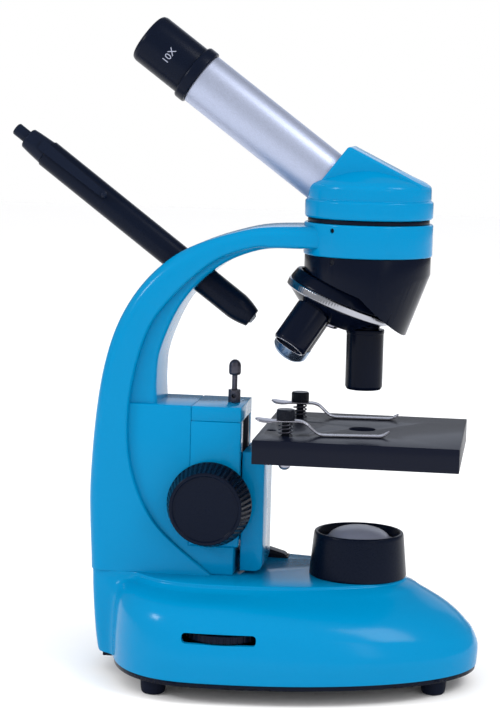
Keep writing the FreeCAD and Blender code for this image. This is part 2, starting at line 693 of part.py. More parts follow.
def stop_screw():
    made = turned("stop_screw", [
        (0, 0), (S.stop_rod, 0), (S.stop_rod, 19.2), (S.stop_head, 19.2), (S.stop_head, 23.4),
        (S.stop_head * 0.8, 25.2), (S.stop_head * 0.4, 26.1), (0, 26.3)])
    return place(made, (S.stop_x, 0, S.cap_line + 0.1))


def stop_collar():
    collar = turned("stop_collar_blank", [
        (S.stop_rod + S.fit_gap, 0), (S.stop_head, 0), (S.stop_head, 5.8), (S.stop_rod + S.fit_gap, 5.8)])
    place(collar, (S.stop_x, 0, S.block_top))
    cross = rod("collar_cross_hole", 0.9, 3, (S.stop_x, -S.stop_head - 1, S.block_top + 3.0), Y_AXIS)
    return cut("stop_collar", collar, [cross])


# ---- stage ----------------------------------------------------------------------------

def stage_plate():
    low, high = S.stage_z - S.stage_thick, S.stage_z
    plate = block("stage_block", (S.stage_rear, -S.stage_half, low),
                  (S.stage_rear + S.stage_half * 2, S.stage_half, high))
    recess = block("stage_recess", (S.stage_rear - 1, -S.tongue_half - 0.1, low - 1),
                   (S.tongue_front + 0.2, S.tongue_half + 0.1, low + S.tongue_thick + 0.05))
    well = rod("stage_well", S.diaphragm_radius + 2.2, 6.5 + 1, (S.diaphragm_x, 0, low - 1))
    window = rod("stage_window", S.stage_hole, 20, (S.optical_x, 0, low - 2))
    pivot = rod("stage_pivot_hole", 1.5, 3.0, (S.diaphragm_x, 0, low + 6.4))
    tools = [recess, well, window, pivot]
    for side in (-1, 1):
        tools.append(rod(f"stage_attach_{side}", S.attach_radius, 20,
                         (S.attach_x, S.attach_y * side, low - 2)))
        tools.append(rod(f"stage_clip_hole_{side}", 2.0, 20, (S.clip_x, S.clip_y * side, low - 2)))
    for x, y in stage_screw_places():
        tools.append(rod(f"stage_tap_{x:.0f}_{y:.0f}", 1.5, 5.0, (x, y, low + S.tongue_thick)))
    return cut("stage_plate", plate, tools)


def stage_screw_places():
    return [(28.0, 7.0), (28.0, -7.0)]


def stage_bracket():
    """The carriage that slides on the housing, with a tongue let into the stage."""
    low, top = S.bracket_low, S.stage_z - S.stage_thick
    front = S.bracket_front
    upright = slab("bracket_upright", [
        (S.bracket_rear, low), (front - 3.0, low), (front - 0.9, low + 0.9), (front, low + 3.0), (front, top),
        (S.bracket_rear, top)], S.bracket_half * 2)
    tongue = block("bracket_tongue", (S.bracket_rear + 6.0, -S.tongue_half, top - 0.5),
                   (S.tongue_front, S.tongue_half, top + S.tongue_thick))
    slide_half = S.slot_half - S.rail_thick - S.fit_gap
    root_x = S.shaft_x + S.gear_module * S.pinion_teeth / 2 + S.gear_module * 1.2
    slide = block("bracket_slide", (root_x + 1.6, -slide_half, low + 13.2),
                  (S.bracket_rear + 1, slide_half, top - 4))
    drills = [rod(f"bracket_hole_{y:.0f}", 1.7, 30, (x, y, top - 20)) for x, y in stage_screw_places()]
    heads = [rod(f"bracket_sink_{y:.0f}", 3.0, 30, (x, y, top - 31)) for x, y in stage_screw_places()]
    return cut("stage_bracket", fused("bracket_whole", [upright, tongue, slide]), drills + heads)


def stage_screws():
    seat = S.stage_z - S.stage_thick - 1.0
    made = [screw(f"stage_screw_{n}", (x, y, seat), 1.48, 2.6, 1.8, 8.5)
            for n, (x, y) in enumerate(stage_screw_places())]
    return group("stage_screws", made)


def diaphragm_disc():
    """A disc of graded holes, any one of which can be turned under the window."""
    disc = rod("diaphragm_blank", S.diaphragm_radius, S.diaphragm_thick,
               (S.diaphragm_x, 0, S.stage_z - S.stage_thick + 4.6))
    holes = [rod("diaphragm_pivot_hole", 1.55, 10, (S.diaphragm_x, 0, S.stage_z - S.stage_thick))]
    reach = S.diaphragm_x - S.optical_x
    for number, size in enumerate((3.6, 0.6, 1.1, 1.6, 2.2, 2.9)):
        angle = math.pi + number * math.pi / 3
        holes.append(rod(f"diaphragm_hole_{number}", size, 10,
                         (S.diaphragm_x + reach * math.cos(angle), reach * math.sin(angle),
                          S.stage_z - S.stage_thick)))
    return cut("diaphragm_disc", disc, holes)


def diaphragm_screw():
    made = screw("diaphragm_screw", (S.diaphragm_x, 0, S.stage_z - S.stage_thick + 4.4), 1.48, 3.2, 1.4, 4.6)
    return made


def clip_profile():
    """The side outline of a spring clip: a flat tab, a step down and a bar on the stage."""
    top, thick, rest = S.clip_rest_z - S.stage_z, S.clip_thick, 0.1
    upper = [(-13.4, top + thick), (8.4, top + thick), (14.6, rest + thick), (42.6, rest + thick),
             (45.8, rest + 2.2 + thick)]
    lower = [(46.1, rest + 2.2), (43.0, rest), (14.2, rest), (8.0, top), (-13.4, top)]
    return upper + lower


def stage_clip(side, label, turn):
    leaf = slab(label + "_leaf", clip_profile(), S.clip_half * 2)
    bore = rod(label + "_bore", 1.75, 30, (0, 0, -5))
    clip = cut(label, leaf, [bore])
    return place(clip, (S.clip_x, S.clip_y * side, S.stage_z), FreeCAD.Rotation(Z_AXIS, turn))


def clip_screws():
    """Each screw has a knurled head above the clip and a nut below the stage."""
    made = []
    under = S.stage_thick + 2.2
    lift = S.clip_rest_z + S.clip_thick + 0.1 - S.stage_z
    for side in (-1, 1):
        pin = turned(f"clip_screw_{side}", [
            (0, -under), (1.7, -under), (1.7, -S.stage_thick - 2.0), (3.2, -S.stage_thick - 2.0),
            (3.2, -S.stage_thick), (1.7, -S.stage_thick), (1.7, lift), (S.clip_head_radius, lift),
            (S.clip_head_radius, lift + S.clip_head_height - 0.6),
            (S.clip_head_radius - 0.6, lift + S.clip_head_height), (0, lift + S.clip_head_height)])
        made.append(place(pin, (S.clip_x, S.clip_y * side, S.stage_z)))
    return group("clip_screws", made)


def clip_springs():
    """A coil round each clip screw, between the stage and the clip."""
    made = []
    height, pitch, wire, radius = float(S.clip_rest_z - S.stage_z) - 0.1, 1.65, 0.35, 2.9
    for side in (-1, 1):
        turns = (height - 2 * wire) / pitch
        path = Part.makeHelix(pitch, pitch * turns, radius)
        ring = Part.Wire([Part.makeCircle(wire, V(radius, 0, 0), V(0, 1, 0))])
        coil = Part.Wire(path).makePipeShell([ring], True, True)
        seat = (S.clip_x, S.clip_y * side, S.stage_z + wire + 0.02)
        made.append(shaped(f"clip_spring_{side}", coil, seat))
    return group("clip_springs", made)


# ---- nosepiece ------------------------------------------------------------------------

def turret_place(drop, spin=0.0):
    """The turret's frame: its own Z runs up the tilted axis, at a drop below the apex."""
    up = direction(S.turret_tilt)
    rotation = FreeCAD.Rotation(Z_AXIS, up).multiply(FreeCAD.Rotation(Z_AXIS, spin))
    return FreeCAD.Placement(V(float(S.optical_x), 0, float(S.apex_z)) - up * float(drop), rotation)


def objective_place(number):
    """The frame of an objective: its own -Z runs from the apex along its axis."""
    base = FreeCAD.Placement(V(float(S.optical_x), 0, float(S.apex_z)), FreeCAD.Rotation())
    return base.multiply(FreeCAD.Placement(V(), FreeCAD.Rotation(direction(S.turret_tilt), 120.0 * number)))


def placed(obj, placement):
    obj.Placement = placement
    return obj


def nosepiece_housing():
    """A black casting under the head ring, with a hood that comes down over the turret's front."""
    bottom = S.apex_z - 50
    drum = rod("nose_drum", S.nose_radius, S.ring_low - bottom, (S.optical_x, 0, bottom))
    neck = rod("nose_neck_ring", S.ring_bore - S.fit_gap, S.nose_neck - S.ring_low + 1,
               (S.optical_x, 0, S.ring_low - 1))
    skirt = doc.addObject("Part::Cone", "nose_skirt")
    reach = 60.0
    bind(skirt, "Radius1", S.skirt_radius)
    bind(skirt, "Radius2", S.skirt_radius - S.skirt_taper * reach)
    bind(skirt, "Height", reach)
    placed(skirt, turret_place(S.ring_drop + 4))
    recess = placed(rod("nose_recess", S.recess_radius, 40), turret_place(S.ring_drop - S.recess_top + 40))
    hood_line = [(20, 189.1), (53.1, 176.1), (74, 156), (74, 130), (20, 130)]
    underside = slab("nose_underside", hood_line, 80.0)
    bore = rod("nose_bore", S.nose_light_radius, 60, (S.optical_x, 0, 150))
    throat = rod("nose_throat", 19.5, 20, (S.optical_x, 0, S.ring_low - 4))
    axle_hole = placed(rod("nose_axle_hole", S.axle_radius + PRESS_GAP, 30), turret_place(S.ring_drop + 5))
    setting = rod("nose_set_hole", 1.1, 9, tuple(set_screw_point(SET_SCREW_START, S.ring_low - 2.0)),
                  set_screw_direction())
    outer = common("nose_outer", [fused("nose_stack", [drum, neck]), skirt])
    return cut("nosepiece_housing", outer, [recess, underside, bore, throat, axle_hole, setting])


SET_SCREW_START = 32.0


def set_screw_direction():
    """Both set screws point at the optical axis, from the left of the near side."""
    angle = math.radians(S.set_screw_angle)
    return V(math.sin(angle), math.cos(angle), 0)


def set_screw_point(reach, height):
    return V(float(S.optical_x), 0, float(height)) - set_screw_direction() * float(reach)


def set_screws():
    made = []
    for number, height in enumerate((S.ring_top - 2.7, S.ring_low - 2.0)):
        start = set_screw_point(S.nose_radius - 0.4, height)
        made.append(rod(f"set_screw_{number}", 1.08, 3.5, tuple(start), set_screw_direction()))
    return group("set_screws", made)


def swivel_ring():
    """The black ring that the head turns on: a flange on the arm's ring and a sleeve in its bore."""
    low = S.nose_neck + 1.0
    made = turned("swivel_ring", [
        (S.swivel_radius + S.fit_gap, low), (S.ring_bore - S.fit_gap, low),
        (S.ring_bore - S.fit_gap, S.ring_top), (S.ring_radius - 1.6, S.ring_top),
        (S.ring_radius - 1.6, S.head_low - 0.15), (S.swivel_radius + S.fit_gap, S.head_low - 0.15)])
    return place(made, (S.optical_x, 0, 0))


def turret_disc():
    blank = turned("turret_blank", [
        (S.axle_radius + S.fit_gap, -S.disc_low), (5.6, -S.disc_low), (12.0, -S.disc_low + 0.5), (23.2, -0.1),
        (23.2, S.grip_height + 0.05), (S.grip_radius - 0.4, S.grip_height + 0.05), (22.6, S.disc_height),
        (21.0, S.disc_height), (21.0, 4.8), (S.axle_radius + S.fit_gap, 4.8)])
    placed(blank, turret_place(S.ring_drop))
    bores = []
    for number in range(3):
        frame = objective_place(number)
        bore = rod(f"turret_bore_{number}", S.thread_radius + 0.03, 60)
        bores.append(placed(bore, FreeCAD.Placement(frame.multVec(V(0, 0, -60)), frame.Rotation)))
        seat = rod(f"turret_seat_{number}", 8.95, 20)
        seat_low = frame.multVec(V(0, 0, -float(S.shoulder_drop) - 20))
        bores.append(placed(seat, FreeCAD.Placement(seat_low, frame.Rotation)))
    return cut("turret_disc", blank, bores)


def turret_grip():
    """The bright gripping ring round the disc, with a milled edge."""
    blank = turned("grip_blank", [
        (23.25, 0), (S.grip_radius - 0.5, 0), (S.grip_radius, 0.5), (S.grip_radius, S.grip_height - 0.5),
        (S.grip_radius - 0.5, S.grip_height), (23.25, S.grip_height)])
    teeth = []
    count = 60
    for number in range(count):
        angle = 2 * math.pi * number / count
        teeth.append(rod(f"grip_tooth_{number}", 0.45, 8,
                         ((S.grip_radius + 0.2) * math.cos(angle), (S.grip_radius + 0.2) * math.sin(angle),
                          -2)))
    return placed(cut("turret_grip", blank, teeth), turret_place(S.ring_drop))


def turret_axle():
    """The shouldered screw that the turret turns on, with its slotted head below."""
    axle = turned("axle_blank", [
        (0, -10.6), (3.8, -10.6), (4.4, -10.0), (4.4, -8.8), (S.axle_radius, -8.8), (S.axle_radius, 11.8),
        (0, 11.8)])
    slot = block("axle_slot", (-5.0, -0.5, -11.2), (5.0, 0.5, -9.8))
    return placed(cut("turret_axle", axle, [slot]), turret_place(S.ring_drop))


def objective(label, number, profile, bore, lens_radius, end):
    """A turned barrel hung from the apex, with a light path and a seat for its front lens."""
    barrel = turned(label + "_barrel", [(radius, -drop) for radius, drop in profile])
    path = rod(label + "_path", bore, 80, (0, 0, -end + 2.0))
    seat = rod(label + "_seat", lens_radius, 20, (0, 0, -end - 10.0 + 3.0))
    return placed(cut(label, barrel, [path, seat]), objective_place(number))


LENS_RADII = (2.4, 3.6, 4.6)
OBJECTIVE_ENDS = (70.7, 61.6, 71.8)


def objectives():
    """High power stands over the stage; low power is near, medium power is far."""
    seat, thread = S.shoulder_drop, S.thread_radius
    high_end, low_end, medium_end = OBJECTIVE_ENDS
    high = [(0, seat - 4), (thread, seat - 4), (thread, seat), (8.6, seat), (8.6, seat + 1.6),
            (8.4, seat + 2.0), (8.4, high_end - 1.4), (7.5, high_end), (0, high_end)]
    low = [(0, seat - 4), (thread, seat - 4), (thread, seat), (8.0, seat), (8.0, low_end + 0.3),
           (7.2, low_end + 1.3), (6.4, low_end + 1.3), (6.4, low_end), (0, low_end)]
    medium = [(0, seat - 4), (thread, seat - 4), (thread, seat), (8.3, seat), (8.3, medium_end - 5.3),
              (6.6, medium_end - 5.3), (6.6, medium_end), (0, medium_end)]
    objective("objective_high", 0, high, 4.0, LENS_RADII[0], OBJECTIVE_ENDS[0])
    objective("objective_low", -1, low, 4.6, LENS_RADII[1], OBJECTIVE_ENDS[1])
    objective("objective_medium", 1, medium, 5.0, LENS_RADII[2], OBJECTIVE_ENDS[2])
    tip = turned("objective_tip", [
        (6.65, -medium_end + 5.2), (8.3, -medium_end + 5.2), (8.3, -medium_end + 1.4), (7.3, -medium_end),
        (6.65, -medium_end)])
    placed(tip, objective_place(1))
    lenses = []
    for number, radius, end in zip((0, -1, 1), LENS_RADII, OBJECTIVE_ENDS):
        lens = turned(f"front_lens_{number}", [(0, -end + 1.0), (radius - PRESS_GAP, -end + 1.0),
                                               (radius - PRESS_GAP, -end + 2.9), (0, -end + 2.9)])
        lenses.append(placed(lens, objective_place(number)))
    group("objective_lenses", lenses)


# ---- head and eyepiece ------------------------------------------------------------------

def tube_place(along=0.0):
    """The tube's frame: its own Z runs up the tube from the head's slanted face."""
    up = direction(90 - S.tube_tilt, -1)
    return FreeCAD.Placement(V(float(S.face_x), 0, float(S.face_z)) + up * float(along),
                             FreeCAD.Rotation(Z_AXIS, up))


def head_housing():
    """The turning head: a ring, a sloping shoulder and a wedge that holds the prism."""
    ox = S.optical_x
    ring = turned("head_ring", [
        (0, S.head_low), (S.head_ring_radius - 0.6, S.head_low), (S.head_ring_radius, S.head_low + 0.8),
        (S.head_ring_radius, S.head_step - 0.6), (S.head_ring_radius - 0.5, S.head_step),
        (S.head_radius_top, S.head_step), (S.head_radius_top, S.head_shoulder),
        (S.wedge_half, S.head_shoulder + 7.2), (0, S.head_shoulder + 7.2)])
    place(ring, (ox, 0, 0))
    neck = rod("head_neck", S.swivel_radius, 9.0, (ox, 0, S.head_low - 8.5))
    wedge = slab("head_wedge", [(45.3, 241.9), (81.6, 224.0), (81.6, 214.0), (26.0, 214.0), (26.0, 217.0)],
                 S.wedge_half * 2)
    round_off = rod("head_round_off", S.head_radius_top - 0.1, 60, (ox, 0, S.head_low - 20))
    body = fused("head_mass", [common("head_wedge_trimmed", [wedge, round_off]), ring, neck])
    face_cut = placed(block("head_face_cut", (-60, -60, 0), (60, 60, 60)), FreeCAD.Placement(
        tube_place().multVec(V(-60, -60, 0)), tube_place().Rotation))
    socket = placed(rod("head_socket", S.tube_radius + PRESS_GAP, 30), tube_place(-S.socket_depth))
    light = placed(rod("head_light", 10.0, 30), tube_place(-24))
    chamber = block("head_chamber", (ox - 13.0, -10.5, S.head_low - 20), (ox + 12.0, 10.5, 224.5))
    return cut("head_housing", body, [face_cut, socket, light, chamber])


def prism():
    """The glass that turns the light from the objective up the tube."""
    ox = S.optical_x
    made = slab("prism", [(ox - 12.6, 204.0), (ox + 10.5, 204.0), (ox + 10.5, 211.0), (ox - 1.5, 223.6),
                          (ox - 12.6, 213.4)], 20.0)
    return made


def eyepiece_tube():
    inner = S.tube_radius - S.tube_wall
    start = -S.socket_depth + 0.05
    made = turned("eyepiece_tube", [(inner, start), (S.tube_radius, start), (S.tube_radius, S.tube_length),
                                    (inner, S.tube_length)])
    return placed(made, tube_place())


def eyepiece():
    sleeve = S.tube_radius - S.tube_wall - S.fit_gap
    start, seat, top = S.tube_length - S.sleeve_length, S.tube_length + 0.05, S.tube_length + S.eye_length
    barrel = turned("eyepiece_barrel", [
        (10.4, start), (sleeve, start), (sleeve, seat + S.eye_ring_length),
        (S.eye_radius, seat + S.eye_ring_length), (S.eye_radius, top - 2.4), (S.eye_radius - 0.7, top - 0.7),
        (S.eye_radius - 2.2, top), (8.4, top), (7.2, top - 1.6), (7.2, top - 5.0), (10.4, top - 6.0)])
    placed(barrel, tube_place())
    bore = sleeve + PRESS_GAP
    ring = turned("eyepiece_ring", [
        (bore, seat), (S.eye_ring_radius - 0.4, seat), (S.eye_ring_radius, seat + 0.5),
        (S.eye_ring_radius, seat + S.eye_ring_length - 0.9),
        (S.eye_ring_radius - 0.6, seat + S.eye_ring_length - PRESS_GAP),
        (bore, seat + S.eye_ring_length - PRESS_GAP)])
    placed(ring, tube_place())
    eye = placed(turned("eye_lens", [(0, top - 4.4), (7.15, top - 4.4), (7.15, top - 2.9), (5.0, top - 2.3),
                                     (0, top - 2.0)]), tube_place())
    field = placed(turned("field_lens", [(0, start + 2), (10.35, start + 2), (10.35, start + 3.6),
                                         (6.0, start + 4.8), (0, start + 5.2)]), tube_place())
    group("eyepiece_lenses", [eye, field])


# ---- penlight -----------------------------------------------------------------------------

def pen_direction():
    return direction(90 + S.pen_tilt)


def pen_point(along):
    return V(float(S.pen_tail_x), 0, float(S.pen_tail_z)) + pen_direction() * float(along)


def pen_place():
    """The penlight's frame: its own Z runs from the push button to the lamp."""
    return FreeCAD.Placement(pen_point(0), FreeCAD.Rotation(Z_AXIS, pen_direction()))


def penlight():
    radius, cap_end, end = S.pen_radius, S.pen_cap_end, S.pen_barrel_end
    barrel = turned("pen_barrel", [
        (5.2, cap_end), (radius, cap_end), (radius, end), (5.7, end + 4.4), (4.4, end + 8.8),
        (2.6, end + 8.8), (2.6, end + 2.0), (5.2, end + 1.0)])
    tail = turned("pen_tail_cap", [
        (3.0, 6.9), (4.4, 6.9), (5.0, 7.6), (5.6, cap_end - 1.2), (5.9, cap_end - PRESS_GAP),
        (5.15, cap_end - PRESS_GAP), (5.15, cap_end + 6), (4.2, cap_end + 6), (4.2, 11.5), (3.0, 11.5)])
    button = turned("pen_button", [
        (0, 0), (2.3, 0), (2.9, 0.6), (2.9, 12.0), (3.6, 12.0), (3.6, 13.0), (0, 13.0)])
    lamp = turned("pen_led", [(0, end - 3.5), (5.1, end - 3.5), (5.1, end + 0.8), (2.45, end + 1.9),
                              (2.45, end + 9.0), (1.8, end + 9.7), (0, end + 9.9)])
    for piece in (barrel, tail, button, lamp):
        placed(piece, pen_place())


PEN_CLIP_TURN = 160.0


def pen_clip():
    """A sprung strip along the barrel, rooted at the tail cap and ending in a ball."""
    root, reach, radius = 14.5, 53.0, float(S.pen_radius)
    strip = slab("clip_strip", [(-1.9, root), (1.9, root), (1.9, reach - 2), (-1.9, reach - 2)], 0.9)
    place(strip, (0, radius + 1.6, 0))
    foot = block("clip_foot", (-1.9, 5.6, root), (1.9, radius + 1.6, root + 2.0))
    ball = doc.addObject("Part::Sphere", "clip_ball")
    bind(ball, "Radius", 1.5)
    place(ball, (0, radius + 1.75, reach - 2))
    clip = fused("pen_clip", [strip, foot, ball])
    base = pen_place()
    side = FreeCAD.Placement(V(), FreeCAD.Rotation(Z_AXIS, PEN_CLIP_TURN))
    return placed(clip, base.multiply(side))


NODES = [
    "base_shell", "base_plate", "rubber_feet", "plate_screws", "arm_bolts", "battery_door", "battery_cells",
    "battery_holder", "illuminator_housing", "collector_lens", "lamp_board", "lamp_led", "dimmer_wheel",
    "dimmer_control", "switch_rocker", "switch_frame", "power_jack", "arm", "focus_housing", "housing_cap",
    "guide_rails", "shaft_bushings", "focus_shaft", "focus_pinion", "focus_rack", "focus_knob_near",
    "focus_knob_far", "stop_screw", "stop_collar", "stage_plate", "stage_bracket", "stage_screws",
    "diaphragm_disc", "diaphragm_screw", "stage_clip_near", "stage_clip_far", "clip_screws", "clip_springs",
    "nosepiece_housing", "set_screws", "swivel_ring", "turret_disc", "turret_grip", "turret_axle",
    "objective_high", "objective_low", "objective_medium", "objective_tip", "objective_lenses",
    "head_housing", "prism", "eyepiece_tube", "eyepiece_barrel", "eyepiece_ring", "eyepiece_lenses",
    "pen_barrel", "pen_tail_cap", "pen_button", "pen_led", "pen_clip",
]


def build():
    for make in (base_shell, base_plate, rubber_feet, plate_screws, arm_bolts, battery_door, battery_cells,
                 battery_holder, illuminator_housing, collector_lens, lamp_board, lamp_led, dimmer_wheel,
                 dimmer_control, switch_rocker, switch_frame, power_jack, arm, focus_housing, housing_cap,
                 guide_rails, shaft_bushings, focus_shaft, focus_pinion, focus_rack):
        make()
    focus_knob(-1, "focus_knob_near")
    focus_knob(1, "focus_knob_far")
    for make in (stop_screw, stop_collar, stage_plate, stage_bracket, stage_screws, diaphragm_disc,
                 diaphragm_screw):
        make()
    stage_clip(-1, "stage_clip_near", 9.0)
    stage_clip(1, "stage_clip_far", 4.0)
    for make in (clip_screws, clip_springs, nosepiece_housing, set_screws, swivel_ring, turret_disc,
                 turret_grip, turret_axle, objectives, head_housing, prism, eyepiece_tube, eyepiece, penlight,
                 pen_clip):
        make()


def export():
    doc.recompute()
    for obj in doc.Objects:
        if {"Invalid", "Error"} & set(obj.State):
            raise RuntimeError(f"{obj.Label} did not compute: {obj.State}")
    os.makedirs(OUT, exist_ok=True)
    shapes = {name: doc.getObject(name).Shape for name in NODES}
    broken = [name for name, shape in shapes.items()
              if shape.isNull() or not shape.isValid() or not shape.Solids]
    if broken:
        raise RuntimeError(f"no valid shape: {broken}")
    for name, shape in shapes.items():
        shape.exportStep(os.path.join(OUT, name + ".step"))
        print(name, len(shape.Solids), round(shape.Volume, 1))


build()
export()
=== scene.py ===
"""The looks of a student's monocular microscope, built over its CAD frame.

Shapes are given in millimetres and turned into metres as their meshes are made. Lights and
camera are in metres.
"""

import bmesh
import bpy
import math
from mathutils import Matrix, Vector


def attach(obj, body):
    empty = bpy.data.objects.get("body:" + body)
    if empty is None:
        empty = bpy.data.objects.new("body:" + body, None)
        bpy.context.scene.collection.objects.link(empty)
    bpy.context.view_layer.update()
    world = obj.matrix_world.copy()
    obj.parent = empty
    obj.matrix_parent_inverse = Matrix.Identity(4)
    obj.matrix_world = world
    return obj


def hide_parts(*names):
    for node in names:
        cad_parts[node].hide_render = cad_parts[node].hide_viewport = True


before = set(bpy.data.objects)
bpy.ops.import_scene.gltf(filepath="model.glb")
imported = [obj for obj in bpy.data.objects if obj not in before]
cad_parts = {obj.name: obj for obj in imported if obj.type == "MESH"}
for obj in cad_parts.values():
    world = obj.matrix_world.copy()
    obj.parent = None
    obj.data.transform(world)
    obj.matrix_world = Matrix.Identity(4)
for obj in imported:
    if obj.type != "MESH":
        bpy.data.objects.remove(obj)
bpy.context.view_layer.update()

MM = 0.001
FULL_TURN = 2 * math.pi
Y_AXIS, Z_AXIS = Vector((0, 1, 0)), Vector((0, 0, 1))
# degrees between faces above which an edge stays a corner
SHARP_ANGLE = 32.0
EASED_SHARP_ANGLE = 40.0

OPTICAL_X = 54.0
DECK_Z = 47.7
BASE_MID_X = -8.0
STAGE_TOP = 114.5


# ---- finishes -----------------------------------------------------------------------

def material(name, color, rough, grain, metal=0.0, bump=0.00002, rough_swing=0.06, fleck=0.0,
             coat=0.0, stretch=(1, 1, 1), shine=0.5, transmission=0.0):
    """A procedural finish: a fine grain moves the roughness, the height and, a little, the colour.

    The colour mix has its factor on input 0, its two colours on 6 and 7 and its result on output 2.
    """
    made = bpy.data.materials.new(name)
    made.use_nodes = True
    made.diffuse_color = (*color, 1)
    tree = made.node_tree
    shader = tree.nodes["Principled BSDF"]
    where = tree.nodes.new("ShaderNodeTexCoord")
    mapping = tree.nodes.new("ShaderNodeMapping")
    mapping.inputs["Scale"].default_value = stretch
    noise = tree.nodes.new("ShaderNodeTexNoise")
    noise.inputs["Scale"].default_value = grain
    noise.inputs["Detail"].default_value = 4.0
    spread = tree.nodes.new("ShaderNodeMapRange")
    spread.inputs["To Min"].default_value = max(rough - rough_swing, 0.02)
    spread.inputs["To Max"].default_value = rough + rough_swing
    height = tree.nodes.new("ShaderNodeBump")
    height.inputs["Strength"].default_value = 0.6
    height.inputs["Distance"].default_value = bump
    shade = tree.nodes.new("ShaderNodeMix")
    shade.data_type = "RGBA"
    shade.inputs[6].default_value = (*[max(c * (1 - fleck), 0) for c in color], 1)
    shade.inputs[7].default_value = (*[min(c * (1 + fleck), 1) for c in color], 1)
    link = tree.links.new
    link(where.outputs["Object"], mapping.inputs["Vector"])
    link(mapping.outputs["Vector"], noise.inputs["Vector"])
    link(noise.outputs["Fac"], spread.inputs["Value"])
    link(spread.outputs["Result"], shader.inputs["Roughness"])
    link(noise.outputs["Fac"], height.inputs["Height"])
    link(height.outputs["Normal"], shader.inputs["Normal"])
    link(noise.outputs["Fac"], shade.inputs[0])
    link(shade.outputs[2], shader.inputs["Base Color"])
    shader.inputs["Metallic"].default_value = metal
    shader.inputs["Coat Weight"].default_value = coat
    shader.inputs["Coat Roughness"].default_value = 0.12
    shader.inputs["Transmission Weight"].default_value = transmission
    shader.inputs["Specular IOR Level"].default_value = shine
    return made


FINISHES = {
    "blue_paint": material("blue enamel", (0.0, 0.186, 0.392), 0.17, grain=900, bump=0.00003, fleck=0.03,
                           shine=0.085),
    "black_paint": material("black enamel", (0.0016, 0.0034, 0.0105), 0.24, grain=1800, fleck=0.2,
                            shine=0.08),
    "black_plastic": material("black moulding", (0.0022, 0.0046, 0.0130), 0.28, grain=2600, bump=0.00003,
                              fleck=0.2, shine=0.08),
    "black_gloss": material("glossy black moulding", (0.0050, 0.0082, 0.0190), 0.22, grain=1500, bump=0.00001,
                            fleck=0.15, shine=0.08),
    "silver_satin": material("speckled satin silver", (0.38, 0.42, 0.55), 0.42, metal=0.7, grain=2600,
                             bump=0.00006, rough_swing=0.12, fleck=0.3),
    "blue_silver": material("turned blue silver", (0.20, 0.28, 0.40), 0.26, metal=0.9, grain=1800, fleck=0.1),
    "bright_steel": material("bright steel", (0.30, 0.30, 0.35), 0.26, metal=0.95, grain=1500, fleck=0.1,
                             stretch=(0.12, 1, 1)),
    "black_steel": material("blackened steel", (0.0055, 0.0070, 0.0125), 0.28, metal=0.2, grain=2200,
                            fleck=0.25, shine=0.12),
    "chrome": material("milled chrome", (0.36, 0.37, 0.41), 0.14, metal=1.0, grain=1200, fleck=0.03),
    "brass": material("machined brass", (0.60, 0.42, 0.16), 0.28, metal=0.95, grain=1800, fleck=0.08),
    "rubber": material("moulded rubber", (0.0040, 0.0062, 0.0150), 0.6, grain=2200, bump=0.00005, fleck=0.25,
                       shine=0.06),
    "glass": material("lens glass", (0.80, 0.86, 0.92), 0.04, grain=400, bump=0.000001, rough_swing=0.01,
                      coat=0.4, transmission=0.85),
    "frosted_glass": material("frosted glass", (0.185, 0.200, 0.265), 0.36, grain=2400, bump=0.00001,
                              fleck=0.05, coat=0.12, shine=0.3),
    "clear_lamp": material("clear lamp moulding", (0.42, 0.45, 0.50), 0.12, grain=700, bump=0.000004,
                           transmission=0.4),
    "board_green": material("green board", (0.02, 0.14, 0.05), 0.42, grain=1600, fleck=0.2),
    "cell_wrap": material("cell sleeve", (0.05, 0.15, 0.09), 0.30, grain=700, fleck=0.1),
}
STAGE_BLACK = material("grained stage black", (0.0036, 0.0052, 0.0130), 0.38, grain=3200, bump=0.00005,
                       rough_swing=0.08, fleck=0.35, shine=0.05, coat=0.12)
SCREW_GREY = material("dark grey steel", (0.060, 0.060, 0.080), 0.34, metal=0.75, grain=1800, fleck=0.15)
GREY_PRINT = material("grey print", (0.26, 0.28, 0.36), 0.5, grain=2000, bump=0.00001, fleck=0.03)


# ---- shapes -------------------------------------------------------------------------

def mesh_object(name, points, faces):
    mesh = bpy.data.meshes.new(name)
    mesh.from_pydata([tuple(c * MM for c in p) for p in points], [], faces)
    mesh.update()
    obj = bpy.data.objects.new(name, mesh)
    bpy.context.scene.collection.objects.link(obj)
    return tidy_mesh(obj)


def tidy_mesh(obj, sharp=SHARP_ANGLE):
    """Merge doubled points, face everything outwards, and smooth all but the real corners."""
    work = bmesh.new()
    work.from_mesh(obj.data)
    bmesh.ops.remove_doubles(work, verts=work.verts, dist=0.000002)
    bmesh.ops.dissolve_degenerate(work, edges=work.edges, dist=0.000001)
    bmesh.ops.recalc_face_normals(work, faces=work.faces)
    for face in work.faces:
        face.smooth = True
    work.to_mesh(obj.data)
    work.free()
    obj.data.set_sharp_from_angle(angle=math.radians(sharp))
    return obj


def skin(name, rows, ring=False):
    """A closed surface through rows of points; every row is a loop, and the ends are capped."""
    count = len(rows[0])
    points = [point for row in rows for point in row]
    pairs = [(a, a + 1) for a in range(len(rows) - 1)]
    faces = []
    if ring:
        pairs.append((len(rows) - 1, 0))
    else:
        faces.append(tuple(reversed(range(count))))
        faces.append(tuple((len(rows) - 1) * count + i for i in range(count)))
    for a, b in pairs:
        for i in range(count):
            j = (i + 1) % count
            faces.append((a * count + i, a * count + j, b * count + j, b * count + i))
    return mesh_object(name, points, faces)


